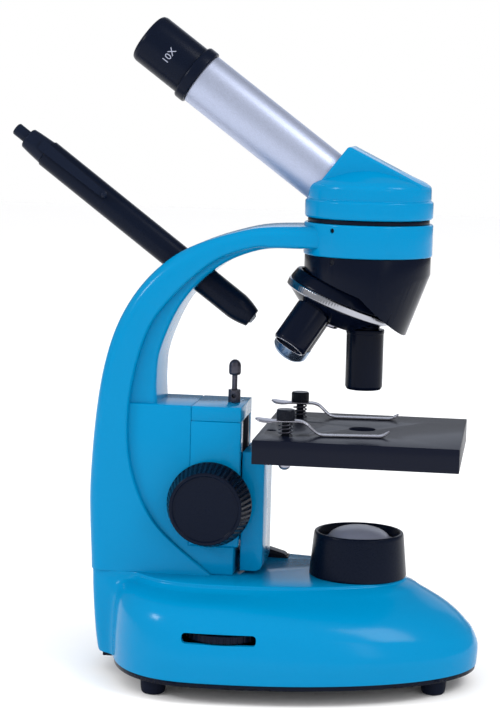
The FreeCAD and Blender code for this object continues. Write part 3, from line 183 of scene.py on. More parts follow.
def rounded(points, radius, closed=False, steps=4):
    """The same outline with each corner swept round by a small curve."""
    count = len(points)
    out = []
    for i, here in enumerate(points):
        if not closed and i in (0, count - 1):
            out.append(Vector(here))
            continue
        corner, before, after = Vector(here), Vector(points[i - 1]), Vector(points[(i + 1) % count])
        back, on = before - corner, after - corner
        reach = min(radius, back.length * 0.45, on.length * 0.45)
        start, end = corner + back.normalized() * reach, corner + on.normalized() * reach
        for step in range(steps + 1):
            t = step / steps
            out.append(start * (1 - t) ** 2 + corner * 2 * t * (1 - t) + end * t ** 2)
    return [tuple(p) for p in out]


def spline(points, count):
    """Points evenly spaced along a smooth curve through the given ones."""
    ends = [2 * Vector(points[0]) - Vector(points[1])] + [Vector(p) for p in points]
    ends.append(2 * ends[-1] - ends[-2])
    dense, fine = [], 24
    for i in range(1, len(ends) - 2):
        p0, p1, p2, p3 = ends[i - 1:i + 3]
        for step in range(fine):
            t = step / fine
            dense.append(0.5 * (2 * p1 + (p2 - p0) * t + (2 * p0 - 5 * p1 + 4 * p2 - p3) * t ** 2
                                + (3 * p1 - p0 - 3 * p2 + p3) * t ** 3))
    dense.append(ends[-2])
    runs = [0.0]
    for a, b in zip(dense, dense[1:]):
        runs.append(runs[-1] + (b - a).length)
    out, index = [], 0
    for step in range(count):
        want = runs[-1] * step / (count - 1)
        while index < len(runs) - 2 and runs[index + 1] < want:
            index += 1
        share = (want - runs[index]) / max(runs[index + 1] - runs[index], 1e-9)
        out.append(dense[index].lerp(dense[index + 1], share))
    return out


def lathe(name, profile, at, segments, corner, ring=False, ripple=None):
    """A piece turned about Z from (radius, height) points, then set in place.

    A ripple takes an angle, a radius and a height, and gives how far the surface lies in.
    """
    outline = rounded([p for p in profile if p[0] > 0], corner, closed=ring)
    rows = []
    for radius, height in outline:
        row = []
        for step in range(segments):
            angle = FULL_TURN * step / segments
            reach = radius - (ripple(angle, radius, height) if ripple else 0.0)
            row.append(at @ Vector((reach * math.cos(angle), reach * math.sin(angle), height)))
        rows.append(row)
    return skin(name, rows, ring)


def frame_at(point, up):
    """A frame whose Z runs along a direction from a point."""
    return Matrix.Translation(Vector(point)) @ Vector(up).to_track_quat("Z", "X").to_matrix().to_4x4()


def slab(name, outline, half, bevel):
    """A plate between two Y planes from an outline in XZ, with its edges eased."""
    rows = [[(x, y, z) for x, z in outline] for y in (-half, half)]
    return eased(skin(name, rows), bevel)


def within_one(value):
    """The value, held between 0 and 1."""
    return max(0.0, min(1.0, value))


def side_name(side):
    return "far" if side > 0 else "near"


def applied(obj):
    """Bake an object's modifiers into its mesh."""
    graph = bpy.context.evaluated_depsgraph_get()
    graph.update()
    mesh = bpy.data.meshes.new_from_object(obj.evaluated_get(graph))
    obj.modifiers.clear()
    obj.data = mesh
    return obj


def eased(obj, width):
    """Round every real edge by a width in millimetres."""
    bevel = obj.modifiers.new("ease", "BEVEL")
    bevel.width = width * MM
    bevel.segments = 3
    bevel.limit_method = "ANGLE"
    bevel.angle_limit = math.radians(30.0)
    bevel.use_clamp_overlap = False
    bevel.harden_normals = False
    applied(obj)
    return tidy_mesh(obj, EASED_SHARP_ANGLE)


def carved(obj, *tools, operation="DIFFERENCE"):
    """The object less its tools, or what it shares with them."""
    for tool in tools:
        cut = obj.modifiers.new("cut", "BOOLEAN")
        cut.operation = operation
        cut.solver = "EXACT"
        cut.object = tool
    applied(obj)
    for tool in tools:
        bpy.data.objects.remove(tool)
    return tidy_mesh(obj)


def joined(name, *objects):
    """One object from several closed meshes."""
    work = bmesh.new()
    for obj in objects:
        work.from_mesh(obj.data)
        bpy.data.objects.remove(obj)
    mesh = bpy.data.meshes.new(name)
    work.to_mesh(mesh)
    work.free()
    made = bpy.data.objects.new(name, mesh)
    bpy.context.scene.collection.objects.link(made)
    mesh.set_sharp_from_angle(angle=math.radians(SHARP_ANGLE))
    return made


def softened(node, width):
    """A copy of a CAD node with its flat faces cleaned and its edges eased."""
    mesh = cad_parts[node].data.copy()
    mesh.name = node + "_eased"
    mesh.materials.clear()
    obj = bpy.data.objects.new(mesh.name, mesh)
    bpy.context.scene.collection.objects.link(obj)
    work = bmesh.new()
    work.from_mesh(mesh)
    bmesh.ops.remove_doubles(work, verts=work.verts, dist=0.00001)
    bmesh.ops.dissolve_limit(work, angle_limit=math.radians(1.0), verts=work.verts, edges=work.edges)
    work.to_mesh(mesh)
    work.free()
    return eased(obj, width)


def piece(obj, body, slot, *nodes, finish=None):
    """Give a piece its finish, the body it rides on and the CAD nodes it stands for."""
    obj.data.materials.clear()
    obj.data.materials.append(finish or FINISHES[slot])
    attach(obj, body)
    if nodes:
        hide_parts(*nodes)


def cylinder(name, radius, length, point, up, segments=64):
    """A plain cylinder to cut with, from a point along a direction."""
    return lathe(name, [(radius, 0), (radius, length)], frame_at(point, up), segments, corner=0.0)


# ---- base ---------------------------------------------------------------------------

# share of the way from the deck's edge to the widest outline, then the height there at
# the side, at the front and at the rear
BASE_PROFILE = [
    (-0.020, 47.70, 47.70, 47.70), (0.000, 47.45, 47.55, 47.55), (0.016, 46.00, 46.50, 46.40),
    (0.140, 44.35, 44.80, 45.20), (0.240, 43.95, 42.60, 44.60), (0.430, 43.10, 39.00, 43.80),
    (0.600, 41.90, 35.40, 42.60), (0.740, 39.60, 31.60, 41.00), (0.850, 35.90, 27.80, 38.40),
    (0.930, 30.40, 24.40, 34.00), (1.000, 20.00, 18.50, 22.00), (0.998, 12.00, 12.00, 12.00),
    (0.990, 9.50, 9.50, 9.50),
]
# the row where the deck's edge ends and the curve of the flank begins
CREASE = 3
BASE_STEPS = 288
FLANK_ROWS = 44
BASE_WALL = 2.6
# heights are divided by this while the profile's curve is drawn, to match the shares
HEIGHT_SCALE = 60.0
# how far each outline reaches from the base's middle: front, rear and half the width
DECK_EDGE = (83.8, 39.8, 37.0)
WIDEST = (117.6, 48.2, 62.2)
SPINE_FOOT_Z = 9.5
SPINE_HEIGHT = 38.2
BLEND = 12


def oval(angle, front, rear, half):
    """Distance from the base's middle to an egg outline in one direction."""
    c, s = math.cos(angle), math.sin(angle)
    power = 2.0 if c > 0 else 2.4
    return (abs(c / (front if c > 0 else rear)) ** power + abs(s / half) ** power) ** (-1 / power)


def spine(angle, height):
    """The same for the upright tail that carries on the line of the arm."""
    c, s = math.cos(angle), math.sin(angle)
    if c >= 0:
        return 1.0
    rise = max(height - SPINE_FOOT_Z, 0.0) / SPINE_HEIGHT
    back, half, power = 53.8 + 4.6 * rise ** 0.6, 20.5, 9
    return (abs(c / back) ** power + abs(s / half) ** power) ** (-1 / power)


def base_rows(inset):
    """Loops round the base from the deck down; an inset gives the hollow inside its wall."""
    keys = [tuple([share] + [z / HEIGHT_SCALE for z in heights]) for share, *heights in BASE_PROFILE]
    edge = rounded(keys[:CREASE + 1], 0.02, steps=3)
    rows = []
    for share, side, front, rear in edge + spline(keys[CREASE:], FLANK_ROWS)[1:]:
        row = []
        for step in range(BASE_STEPS):
            angle = FULL_TURN * step / BASE_STEPS
            lean = math.cos(angle) ** 2
            end = front if math.cos(angle) > 0 else rear
            z = HEIGHT_SCALE * (side * (1 - lean) + end * lean)
            inner, outer = oval(angle, *DECK_EDGE), oval(angle, *WIDEST)
            egg = inner + (outer - inner) * share
            # the egg and the tail run into each other through a small fillet
            reach = (egg ** BLEND + spine(angle, z) ** BLEND) ** (1 / BLEND) - inset
            # the hollow's roof is lower by the wall's thickness too, and its foot is not
            fall = inset * within_one((z - 24.0) / 14.0)
            row.append((BASE_MID_X + reach * math.cos(angle), reach * math.sin(angle), z - fall))
        rows.append(row)
    if inset:
        rows.append([(x, y, 6.0) for x, y, z in rows[-1]])
    return rows


def base_shell():
    """The hollow base with its slot for the dimmer, and its switch, lamp and inlet openings."""
    slot_corners = [(-17.0, 26.6), (15.6, 26.6), (15.6, 31.2), (-17.0, 31.2)]
    slot_outline = rounded(slot_corners, 2.0, closed=True, steps=6)
    slot_tool = skin("slot", [[(x, y, z) for x, z in slot_outline] for y in (-68, -54)])
    switch_corners = [(-2.0, 24.4), (19.0, 24.4), (19.0, 32.8), (-2.0, 32.8)]
    switch_tool = skin("switch", [[(x, y, z) for x, y in switch_corners] for z in (40, 50)])
    tools = [
        skin("hollow", base_rows(BASE_WALL)), slot_tool, switch_tool,
        cylinder("deck_hole", 17.0, 12, (OPTICAL_X, 0, DECK_Z - 8), Z_AXIS),
        cylinder("jack_hole", 4.0, 40, (-38, 30, 24), Y_AXIS),
    ]
    return carved(skin("base_casting", base_rows(0.0)), *tools)


def rubber_feet():
    profile = [(0.5, 0), (4.4, 0), (5.2, 0.8), (5.5, 2.4), (5.8, 7.4), (2.0, 7.5), (1.98, 10.6), (0.5, 10.6)]
    made = []
    for x, y in ((-31.3, 46.5), (-31.3, -46.5), (91.0, 20.5), (91.0, -20.5)):
        made.append(lathe("foot", profile, Matrix.Translation((x, y, 0)), 72, corner=0.7))
    return joined("moulded_feet", *made)


def illuminator():
    profile = [(16.4, 0.0), (22.2, 0.0), (22.0, 2.0), (20.45, 18.6), (20.15, 19.7), (19.4, 20.1),
               (18.5, 19.7), (17.25, 16.4), (17.15, 13.9), (14.2, 13.9), (14.2, -7.0), (16.4, -7.0)]
    return lathe("lamp_hood", profile, Matrix.Translation((OPTICAL_X, 0, DECK_Z)), 160, ring=True, corner=0.8)


def collector_lens():
    """A flat rim 2.5 mm thick with a dome 14.2 mm in radius and 6 mm high on it."""
    profile = [(0.5, 0.0), (17.05, 0.0), (17.05, 2.1), (16.2, 2.5), (14.6, 2.5)]
    for step in range(1, 16):
        turn = math.pi / 2 * step / 16
        profile.append((14.2 * math.cos(turn), 2.5 + 6.0 * math.sin(turn)))
    return lathe("domed_lens", profile, Matrix.Translation((OPTICAL_X, 0, 61.6)), 128, corner=0.2)


# ---- arm ----------------------------------------------------------------------------

# lines down the arm in X and Z: its back, the groove's edge and the inside of the web
ARM_BACK = [(40.0, 206.9), (26.5, 206.2), (0.6, 203.8), (-30.4, 191.8), (-51.4, 169.5), (-62.8, 138.0),
            (-67.7, 90.0), (-66.6, 47.7)]
ARM_GROOVE = [(4.0, 195.9), (-13.2, 189.0), (-31.8, 172.0), (-42.8, 155.0), (-49.6, 125.7), (-48.4, 96.0),
              (-36.6, 70.3), (-10.5, 47.7)]
ARM_INNER = [(26.5, 196.1), (7.4, 195.0), (-11.5, 186.7), (-26.8, 171.0), (-36.2, 150.5), (-38.2, 136.0),
             (-37.4, 118.0)]

SWEEP_STEPS = 110


def rounded_section(thick, half, outer, inner):
    """A section across the arm: distance in from the back, then Y."""
    corners = [(0, -half, outer), (0, half, outer), (thick, half, inner), (thick, -half, inner)]
    out = []
    for index, (u, y, radius) in enumerate(corners):
        radius = min(radius, thick * 0.46)
        before, after = corners[index - 1], corners[(index + 1) % 4]
        to_before = Vector((before[0] - u, before[1] - y)).normalized()
        to_after = Vector((after[0] - u, after[1] - y)).normalized()
        centre = Vector((u, y)) + (to_before + to_after) * radius
        for step in range(9):
            turn = math.pi / 2 * step / 8
            out.append(centre - to_after * radius * math.cos(turn) - to_before * radius * math.sin(turn))
    return out


def swept(name, back, front, half, outer, inner):
    """A bar between a back line and a front line, with a radius for each pair of corners."""
    rows = []
    for start, end in zip(spline(back, SWEEP_STEPS), spline(front, SWEEP_STEPS)):
        across = end - start
        step_in = across.normalized()
        section = rounded_section(across.length, half, outer, inner)
        rows.append([(start.x + step_in.x * u, y, start.y + step_in.y * u) for u, y in section])
    return skin(name, rows)


PEN_TAIL = (-107.9, 0.0, 245.7)
PEN_TILT = math.radians(36.85)
PEN_ALONG = Vector((math.cos(PEN_TILT), 0, -math.sin(PEN_TILT)))
PEN_FRAME = frame_at(PEN_TAIL, PEN_ALONG)
SET_SCREW_TURN = math.radians(29.0)
SET_SCREW_ALONG = Vector((math.sin(SET_SCREW_TURN), math.cos(SET_SCREW_TURN), 0))


def pen_bore():
    return cylinder("pen_bore", 6.45, 200, PEN_TAIL, PEN_ALONG, 96)


def arm():
    """The wide band along the back, the web below it, the foot's cheek and the ring for the head."""
    groove = [(40.0, 196.7), (26.5, 196.6), (14.0, 196.4)] + ARM_GROOVE
    band = swept("band", ARM_BACK, groove, 20.5, 6.5, 1.6)
    head_bore = cylinder("head_bore", 26.5, 30, (OPTICAL_X, 0, 185.0), Z_AXIS, 96)
    band = carved(band, pen_bore(), head_bore)
    web = swept("web", ARM_BACK[1:6] + [(-66.0, 118.0)], ARM_INNER, 16.0, 5.0, 2.4)
    web = carved(web, pen_bore())
    cheek_outline = [(-56, DECK_Z), (-1, DECK_Z), (-1, 60.8), (-21.5, 60.8), (-21.5, 124.3), (-56, 124.3)]
    cheek = slab("cheek", cheek_outline, 18.0, 0.7)
    ring = lathe("ring", [(24, 193.4), (28.8, 193.4), (28.8, 207.9), (24, 207.9)],
                 Matrix.Translation((OPTICAL_X, 0, 0)), 180, ring=True, corner=0.9)
    set_hole_start = Vector((OPTICAL_X, 0, 205.2)) - SET_SCREW_ALONG * 32.0
    ring = carved(ring, cylinder("set_hole", 1.1, 12, set_hole_start, SET_SCREW_ALONG, 32))
    return joined("arm_casting", band, web, cheek, ring)


# ---- focus --------------------------------------------------------------------------

def knob(side):
    """A tapered knob: fine round-bottomed grooves, a raised rim and a flat face."""
    grooves = 48

    def ripple(angle, radius, height):
        reach = within_one((height - 3.4) / 0.8) * within_one((14.6 - height) / 0.5)
        if radius < 15.6 or reach <= 0:
            return 0.0
        return 0.75 * reach * max(0.0, math.cos(angle * grooves)) ** 0.6

    profile = [(3.2, 0), (8.0, 0), (8.0, 1.2), (18.6, 1.2), (19.2, 1.9), (19.2, 3.3), (19.15, 4.3),
               (17.8, 9.2), (16.5, 14.0), (16.35, 14.75), (15.9, 15.0), (15.0, 15.0), (14.6, 14.2),
               (0.6, 14.0)]
    at = frame_at((-11.6, 20.5 * side, 80.9), Y_AXIS * side)
    return lathe("ribbed_knob_" + side_name(side), profile, at, grooves * 10, ripple=ripple, corner=0.3)


def stop_screw():
    profile = [(0.3, 0), (1.25, 0), (1.25, 19.2), (2.3, 19.3), (2.8, 20.2), (2.8, 23.3), (2.45, 24.8),
               (1.6, 25.8), (0.7, 26.25), (0.3, 26.3)]
    return lathe("stop_screw_turned", profile, Matrix.Translation((-4.7, 0, 117.6)), 64, corner=0.3)


# ---- stage --------------------------------------------------------------------------

def clip_place(side, height=STAGE_TOP):
    """Where a clip's screw stands on the stage."""
    return Matrix.Translation((22.4, 28.5 * side, height))


def stage_clip(side, turn):
    """A sprung strip, rounded at both ends, bent down to the stage and up at its tip."""
    path = [(-13.4, 7.5), (-11.0, 6.8), (-7.5, 6.5), (-3.0, 6.7), (8.2, 6.7), (14.4, 0.55), (42.8, 0.55),
            (46.0, 2.75)]
    points = bent_path(path)
    rows = []
    last = len(points) - 1
    for index, point in enumerate(points):
        before, after = points[max(index - 1, 0)], points[min(index + 1, last)]
        along = (after - before).normalized()
        lift = Vector((-along.y, along.x))
        tail = min(1.0, (point - points[0]).length / 3.0)
        tip = min(1.0, (points[-1] - point).length / 1.6)
        half = 3.0 * math.sqrt(max(1 - (1 - tail) ** 2, 0.02)) * math.sqrt(max(1 - (1 - tip) ** 2, 0.02))
        if point.x > 14.0:
            half *= 0.86
        twist = 0.12 * within_one((-5.0 - point.x) / 3.0)
        corners = [(-half, -0.4), (half, -0.4), (half, 0.4), (-half, 0.4)]
        section = rounded([(y, v + y * twist) for y, v in corners], 0.35, closed=True, steps=3)
        rows.append([(point.x + lift.x * v, y, point.y + lift.y * v) for y, v in section])
    at = clip_place(side) @ Matrix.Rotation(math.radians(turn), 4, "Z")
    rows = [[at @ Vector(p) for p in row] for row in rows]
    clip = skin("sprung_clip_" + side_name(side), rows)
    bore = cylinder("clip_bore", 1.75, 12, clip_place(side, 116).translation, Z_AXIS, 32)
    return carved(clip, bore)


def bent_path(path):
    """Closely spaced points along a path whose corners are bends."""
    bent = rounded(path, 3.0, steps=5)
    out = []
    for a, b in zip(bent, bent[1:]):
        a, b = Vector(a), Vector(b)
        parts = max(1, int((b - a).length / 1.2))
        out += [a.lerp(b, step / parts) for step in range(parts)]
    return out + [Vector(bent[-1])]


def clip_screws():
    """Each has a knurled head over the clip and a plain pin down through the stage."""

    def knurl(angle, radius, height):
        if radius <= 3.9 or not 7.6 < height < 11.2:
            return 0.0
        return 0.16 * max(0.0, math.cos(angle * 30))

    profile = [(0.4, -12.8), (1.7, -12.8), (1.7, 7.2), (4.0, 7.2), (4.1, 7.6), (4.1, 8.6), (4.1, 10.4),
               (4.1, 11.2), (3.7, 11.85), (0.4, 11.9)]
    made = [lathe("screw", profile, clip_place(side), 180, ripple=knurl, corner=0.2) for side in (-1, 1)]
    return joined("knurled_clip_screws", *made)


def clip_nuts():
    """Bright acorn nuts under the stage."""
    hexagon = [(1.0, -13.0), (3.3, -13.0), (3.3, -10.6), (1.0, -10.6)]
    dome = [(2.7, -12.9)]
    for step in range(1, 10):
        turn = step * math.pi / 20
        dome.append((2.7 * math.cos(turn), -13.0 - 2.3 * math.sin(turn)))
    made = []
    for side in (-1, 1):
        made.append(eased(lathe("nut", hexagon, clip_place(side), 6, corner=0.0), 0.2))
        made.append(lathe("nut_dome", dome, clip_place(side), 48, corner=0.0))
    return joined("clip_acorn_nuts", *made)


# ---- nosepiece ----------------------------------------------------------------------

APEX = Vector((OPTICAL_X, 0, 203.5))
TURRET_TILT = math.radians(21.5)
TURRET_UP = Vector((math.sin(TURRET_TILT), 0, math.cos(TURRET_TILT)))
TURRET_FRAME = frame_at(APEX - TURRET_UP * 35.3, TURRET_UP)
# distances below the apex: the top of an objective's thread and the shoulder it sits on
THREAD_TOP, SHOULDER = 39.6, 43.4


def objective_frame(number):
    """Objective 0 points straight down; each of the others is a third of a turn on."""
    turn = Matrix.Rotation(math.radians(120.0 * number), 4, TURRET_UP)
    return Matrix.Translation(APEX) @ turn


def turret_disc():
    """The black disc: a rim over the grip, and a bore and a seat for each objective."""
    profile = [(3.05, -8.7), (5.6, -8.7), (12.0, -8.2), (23.2, -0.1), (23.2, 3.85), (24.3, 3.85), (24.2, 4.6),
               (22.9, 8.5), (22.2, 9.1), (21.0, 9.1), (21.0, 4.8), (3.05, 4.8)]
    disc = lathe("revolving_disc", profile, TURRET_FRAME, 180, ring=True, corner=0.4)
    tools = []
    for number in (-1, 0, 1):
        hung = objective_frame(number)
        up = hung.to_3x3() @ Z_AXIS
        tools.append(cylinder(f"thread_{number}", 6.53, 60, hung @ Vector((0, 0, -60)), up))
        tools.append(cylinder(f"seat_{number}", 8.95, 20, hung @ Vector((0, 0, -20 - SHOULDER)), up))
    return carved(disc, *tools)


def turret_grip():
    def ripple(angle, radius, height):
        if radius < 24.1:
            return 0.0
        return 0.05 * max(0.0, math.cos(angle * 120)) ** 0.7

    profile = [(23.25, 0), (24.0, 0.0), (24.7, 0.6), (24.7, 3.2), (24.0, 3.8), (23.25, 3.8)]
    return lathe("milled_grip", profile, TURRET_FRAME, 720, ring=True, ripple=ripple, corner=0.15)


def objective(name, number, profile):
    """A turned piece of an objective from (radius, distance below the apex) points."""
    outline = [(radius, -drop) for radius, drop in profile]
    return lathe(name, outline, objective_frame(number), 128, ring=True, corner=0.3)


def objectives():
    """Each barrel is hollow down to its front lens."""
    inner = 4.0
    thread = [(inner, THREAD_TOP), (6.4, THREAD_TOP), (6.5, SHOULDER)]
    high = thread + [(8.6, SHOULDER), (8.6, 45.1), (8.4, 45.4), (8.4, 69.2), (7.6, 70.6), (4.2, 70.7),
                     (2.6, 69.4), (2.5, 67.6), (inner, 67.4)]
    low = thread + [(8.0, SHOULDER), (8.0, 61.8), (7.3, 62.8), (6.5, 62.9), (6.3, 61.9), (4.0, 61.6),
                    (3.7, 59.0), (inner, 58.8)]
    medium = thread + [(8.3, SHOULDER), (8.3, 65.4), (6.6, 65.5), (6.5, 72.2), (4.9, 71.2), (4.7, 69.0),
                       (inner, 68.8)]
    tip = [(6.62, 65.5), (8.3, 65.5), (8.5, 65.9), (8.5, 70.9), (7.5, 72.4), (6.62, 72.4)]
    piece(objective("high_power_objective", 0, high), "turret", "black_paint", "objective_high")
    piece(objective("low_power_objective", -1, low), "turret", "black_paint", "objective_low")
    piece(objective("medium_power_objective", 1, medium), "turret", "black_paint", "objective_medium")
    # a thin bright steel ring on the low objective's front end: a painted highlight that stands in for the
    # shine on the barrel's chamfered edge
    rim = [(6.62, 62.6), (7.15, 62.6), (7.15, 62.95), (6.62, 62.95)]
    piece(objective("low_power_highlight_ring", -1, rim), "turret", "bright_steel")
    piece(objective("bright_objective_tip", 1, tip), "turret", "blue_silver", "objective_tip")


# ---- head and eyepiece --------------------------------------------------------------

TUBE_TILT = math.radians(36.6)
TUBE_UP = Vector((-math.cos(TUBE_TILT), 0, math.sin(TUBE_TILT)))
TUBE_FRAME = frame_at((34.2, 0, 227.4), TUBE_UP)
EYEPIECE_RADIUS = 11.9


def head():
    profile = [(0.5, 210.0), (28.0, 210.0), (28.6, 210.8), (28.6, 217.4), (28.1, 218.0), (27.5, 218.3),
               (27.6, 219.0), (27.6, 223.4), (27.0, 224.9), (24.6, 226.5), (14.0, 231.2), (0.5, 231.6)]
    dome = lathe("dome", profile, Matrix.Translation((OPTICAL_X, 0, 0)), 180, corner=0.6)
    wedge_outline = [(45.3, 241.9), (84.0, 222.8), (84.0, 214.0), (24.0, 214.0), (26.4, 217.5)]
    head_round = cylinder("head_round", 27.5, 50, (OPTICAL_X, 0, 205), Z_AXIS, 180)
    wedge = carved(slab("wedge", wedge_outline, 14.0, 1.2), head_round, operation="INTERSECT")
    return joined("turning_head", dome, wedge)


def eyepiece_tube():
    profile = [(11.35, -5.9), (12.25, -5.9), (12.25, 70.8), (12.0, 71.4), (11.35, 71.4)]
    return lathe("satin_tube", profile, TUBE_FRAME, 160, ring=True, corner=0.25)


def eyepiece_ring():
    profile = [(11.35, 71.5), (12.9, 71.5), (13.35, 72.0), (13.35, 75.8), (12.8, 76.65), (11.35, 76.65)]
    return lathe("eyepiece_collar", profile, TUBE_FRAME, 128, ring=True, corner=0.3)


def eyepiece_barrel():
    profile = [(10.4, 51.4), (11.3, 51.4), (11.3, 76.65), (EYEPIECE_RADIUS, 76.7), (EYEPIECE_RADIUS, 99.8),
               (11.3, 101.4), (9.8, 102.2), (8.5, 102.2), (7.3, 100.6), (7.2, 97.2), (10.4, 96.2)]
    return lathe("eyepiece_body", profile, TUBE_FRAME, 160, ring=True, corner=0.6)


def eyepiece_print():
    """The magnification, printed round the near side of the eyepiece."""
    curve = bpy.data.curves.new("magnification", "FONT")
    curve.body = "10X"
    curve.size = 4.4
    curve.align_x = "CENTER"
    curve.extrude = 0.02
    text = bpy.data.objects.new("magnification_curve", curve)
    bpy.context.scene.collection.objects.link(text)
    graph = bpy.context.evaluated_depsgraph_get()
    graph.update()
    mesh = bpy.data.meshes.new_from_object(text.evaluated_get(graph))
    bpy.data.objects.remove(text)
    work = bmesh.new()
    work.from_mesh(mesh)
    bmesh.ops.triangulate(work, faces=work.faces)
    bmesh.ops.subdivide_edges(work, edges=[e for e in work.edges if e.calc_length() > 0.6], cuts=2)
    up_the_tube = 86.0
    across = TUBE_FRAME.inverted().to_3x3()
    near = across @ Vector((0, -1, 0))
    right = across @ Vector((math.sin(TUBE_TILT), 0, math.cos(TUBE_TILT)))
    for vert in work.verts:
        turn = vert.co.x / EYEPIECE_RADIUS
        reach = EYEPIECE_RADIUS + 0.015 + vert.co.z
        spot = (near * math.cos(turn) + right * math.sin(turn)) * reach
        vert.co = (TUBE_FRAME @ (spot + Vector((0, 0, up_the_tube + vert.co.y)))) * MM
    made = bpy.data.meshes.new("magnification_print")
    work.to_mesh(made)
    work.free()
    obj = bpy.data.objects.new("magnification_print", made)
    bpy.context.scene.collection.objects.link(obj)
    return tidy_mesh(obj)


# ---- penlight -----------------------------------------------------------------------

def pen_barrel():
    nose = 129.3
    profile = [(5.2, 18.3), (6.1, 18.3), (6.4, 18.7), (6.4, nose), (6.1, nose + 2.4), (5.5, nose + 5.2),
               (4.5, nose + 8.6), (4.0, nose + 8.8), (2.6, nose + 8.8), (2.6, nose + 2.0), (5.2, nose + 1.0)]
    return lathe("pen_body", profile, PEN_FRAME, 112, ring=True, corner=0.5)


def pen_tail_cap():
    profile = [(3.0, 6.9), (4.2, 6.9), (4.9, 7.5), (5.3, 11.0), (5.8, 17.4), (5.9, 18.15), (5.15, 18.2),
               (5.1, 24.0), (4.2, 24.0), (4.2, 11.6), (3.0, 11.5)]
    return lathe("pen_cap", profile, PEN_FRAME, 112, ring=True, corner=0.25)


def pen_button():
    profile = [(0.4, 0.1), (2.2, 0.1), (2.9, 0.7), (2.9, 12.0), (3.6, 12.0), (3.6, 13.0), (0.4, 13.0)]
    return lathe("pen_push", profile, PEN_FRAME, 80, corner=0.3)


def pen_clip():
    """A sprung strip curved round the barrel, rooted at the tail cap and ending in a ball."""
    lean = math.radians(20.0)
    above = Vector((math.sin(PEN_TILT), 0, math.cos(PEN_TILT)))
    out = above * math.sin(lean) - Y_AXIS * math.cos(lean)
    side = PEN_ALONG.cross(out)
    rows = []
    for step in range(41):
        along = 14.6 + 37.4 * step / 40
        # the root reaches in to the cap, and the rest stands clear of the barrel
        low, high = (6.1, 7.7) if step < 3 else (6.95, 7.75)
        half = math.radians(20.0 - 7.0 * step / 40)
        section = [(low, half * (2 * i / 12 - 1)) for i in range(13)]
        section += [(high, half * 0.94 * (1 - 2 * i / 12)) for i in range(13)]
        rows.append([Vector(PEN_TAIL) + PEN_ALONG * along + (out * math.cos(a) + side * math.sin(a)) * r
                     for r, a in section])
    strip = skin("clip_strip", rows)
    ball = [(1.5 * math.sin(math.pi * i / 16), -1.5 * math.cos(math.pi * i / 16)) for i in range(1, 16)]
    knob_at = Matrix.Translation(Vector(PEN_TAIL) + PEN_ALONG * 51.4 + out * 8.0)
    return joined("sprung_pen_clip", strip, lathe("clip_ball", ball, knob_at, 40, corner=0.0))


# ---- everything in place --------------------------------------------------------------

piece(base_shell(), "stand", "blue_paint", "base_shell")
piece(softened("base_plate", 0.25), "stand", "black_paint", "base_plate")
piece(rubber_feet(), "stand", "rubber", "rubber_feet")
piece(illuminator(), "stand", "black_plastic", "illuminator_housing")
piece(collector_lens(), "stand", "frosted_glass", "collector_lens")
piece(softened("switch_frame", 0.2), "stand", "black_plastic", "switch_frame")
piece(softened("switch_rocker", 0.35), "rocker", "black_gloss", "switch_rocker")
piece(softened("battery_door", 0.3), "door", "black_plastic", "battery_door")
piece(arm(), "stand", "blue_paint", "arm")
piece(softened("focus_housing", 0.45), "stand", "blue_paint", "focus_housing")
piece(softened("housing_cap", 0.5), "stand", "blue_paint", "housing_cap")
piece(softened("stage_bracket", 0.5), "stage", "blue_paint", "stage_bracket")
piece(knob(-1), "focus_drive", "black_plastic", "focus_knob_near")
piece(knob(1), "focus_drive", "black_plastic", "focus_knob_far")
piece(stop_screw(), "stop", "black_steel", "stop_screw", finish=SCREW_GREY)
piece(softened("stop_collar", 0.25), "stand", "black_steel", "stop_collar", finish=SCREW_GREY)
piece(softened("stage_plate", 0.35), "stage", "black_paint", "stage_plate", finish=STAGE_BLACK)
piece(stage_clip(-1, 9.0), "near_clip", "bright_steel", "stage_clip_near")
piece(stage_clip(1, 4.0), "far_clip", "bright_steel", "stage_clip_far")
piece(clip_screws(), "stage", "black_steel", "clip_screws")
piece(clip_nuts(), "stage", "bright_steel")
piece(softened("nosepiece_housing", 0.45), "stand", "black_paint", "nosepiece_housing")
piece(softened("swivel_ring", 0.3), "stand", "black_plastic", "swivel_ring")
piece(turret_disc(), "turret", "black_paint", "turret_disc")
piece(turret_grip(), "turret", "chrome", "turret_grip")
piece(softened("turret_axle", 0.2), "stand", "bright_steel", "turret_axle")
objectives()
piece(head(), "head", "blue_paint", "head_housing")
piece(eyepiece_tube(), "head", "silver_satin", "eyepiece_tube")
piece(eyepiece_barrel(), "eyepiece", "black_plastic", "eyepiece_barrel")
piece(eyepiece_ring(), "eyepiece", "black_plastic", "eyepiece_ring")
piece(eyepiece_print(), "eyepiece", "black_plastic", finish=GREY_PRINT)
piece(pen_barrel(), "penlight", "black_plastic", "pen_barrel")
piece(pen_tail_cap(), "penlight", "black_gloss", "pen_tail_cap")
piece(pen_button(), "push_button", "black_gloss", "pen_button")
piece(pen_clip(), "penlight", "black_gloss", "pen_clip")

# the CAD nodes that still show have the same finishes, except that dark grey steel goes on two: on the guide
# rails it is painted shade that darkens their slot, and on the springs it is their own dark colour
DARK_STEEL_AND_SLOT_SHADE = ("guide_rails", "clip_springs")
for name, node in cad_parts.items():
    for index, old in enumerate(node.data.materials):
        node.data.materials[index] = SCREW_GREY if name in DARK_STEEL_AND_SLOT_SHADE else FINISHES[old.name.split(".")[0]]


# ---- floor, light and camera ----------------------------------------------------------

FLOOR_WHITE = material("pale floor", (0.955, 0.955, 0.96), 0.8, grain=300, bump=0.00001, fleck=0.01,
                       shine=0.1)


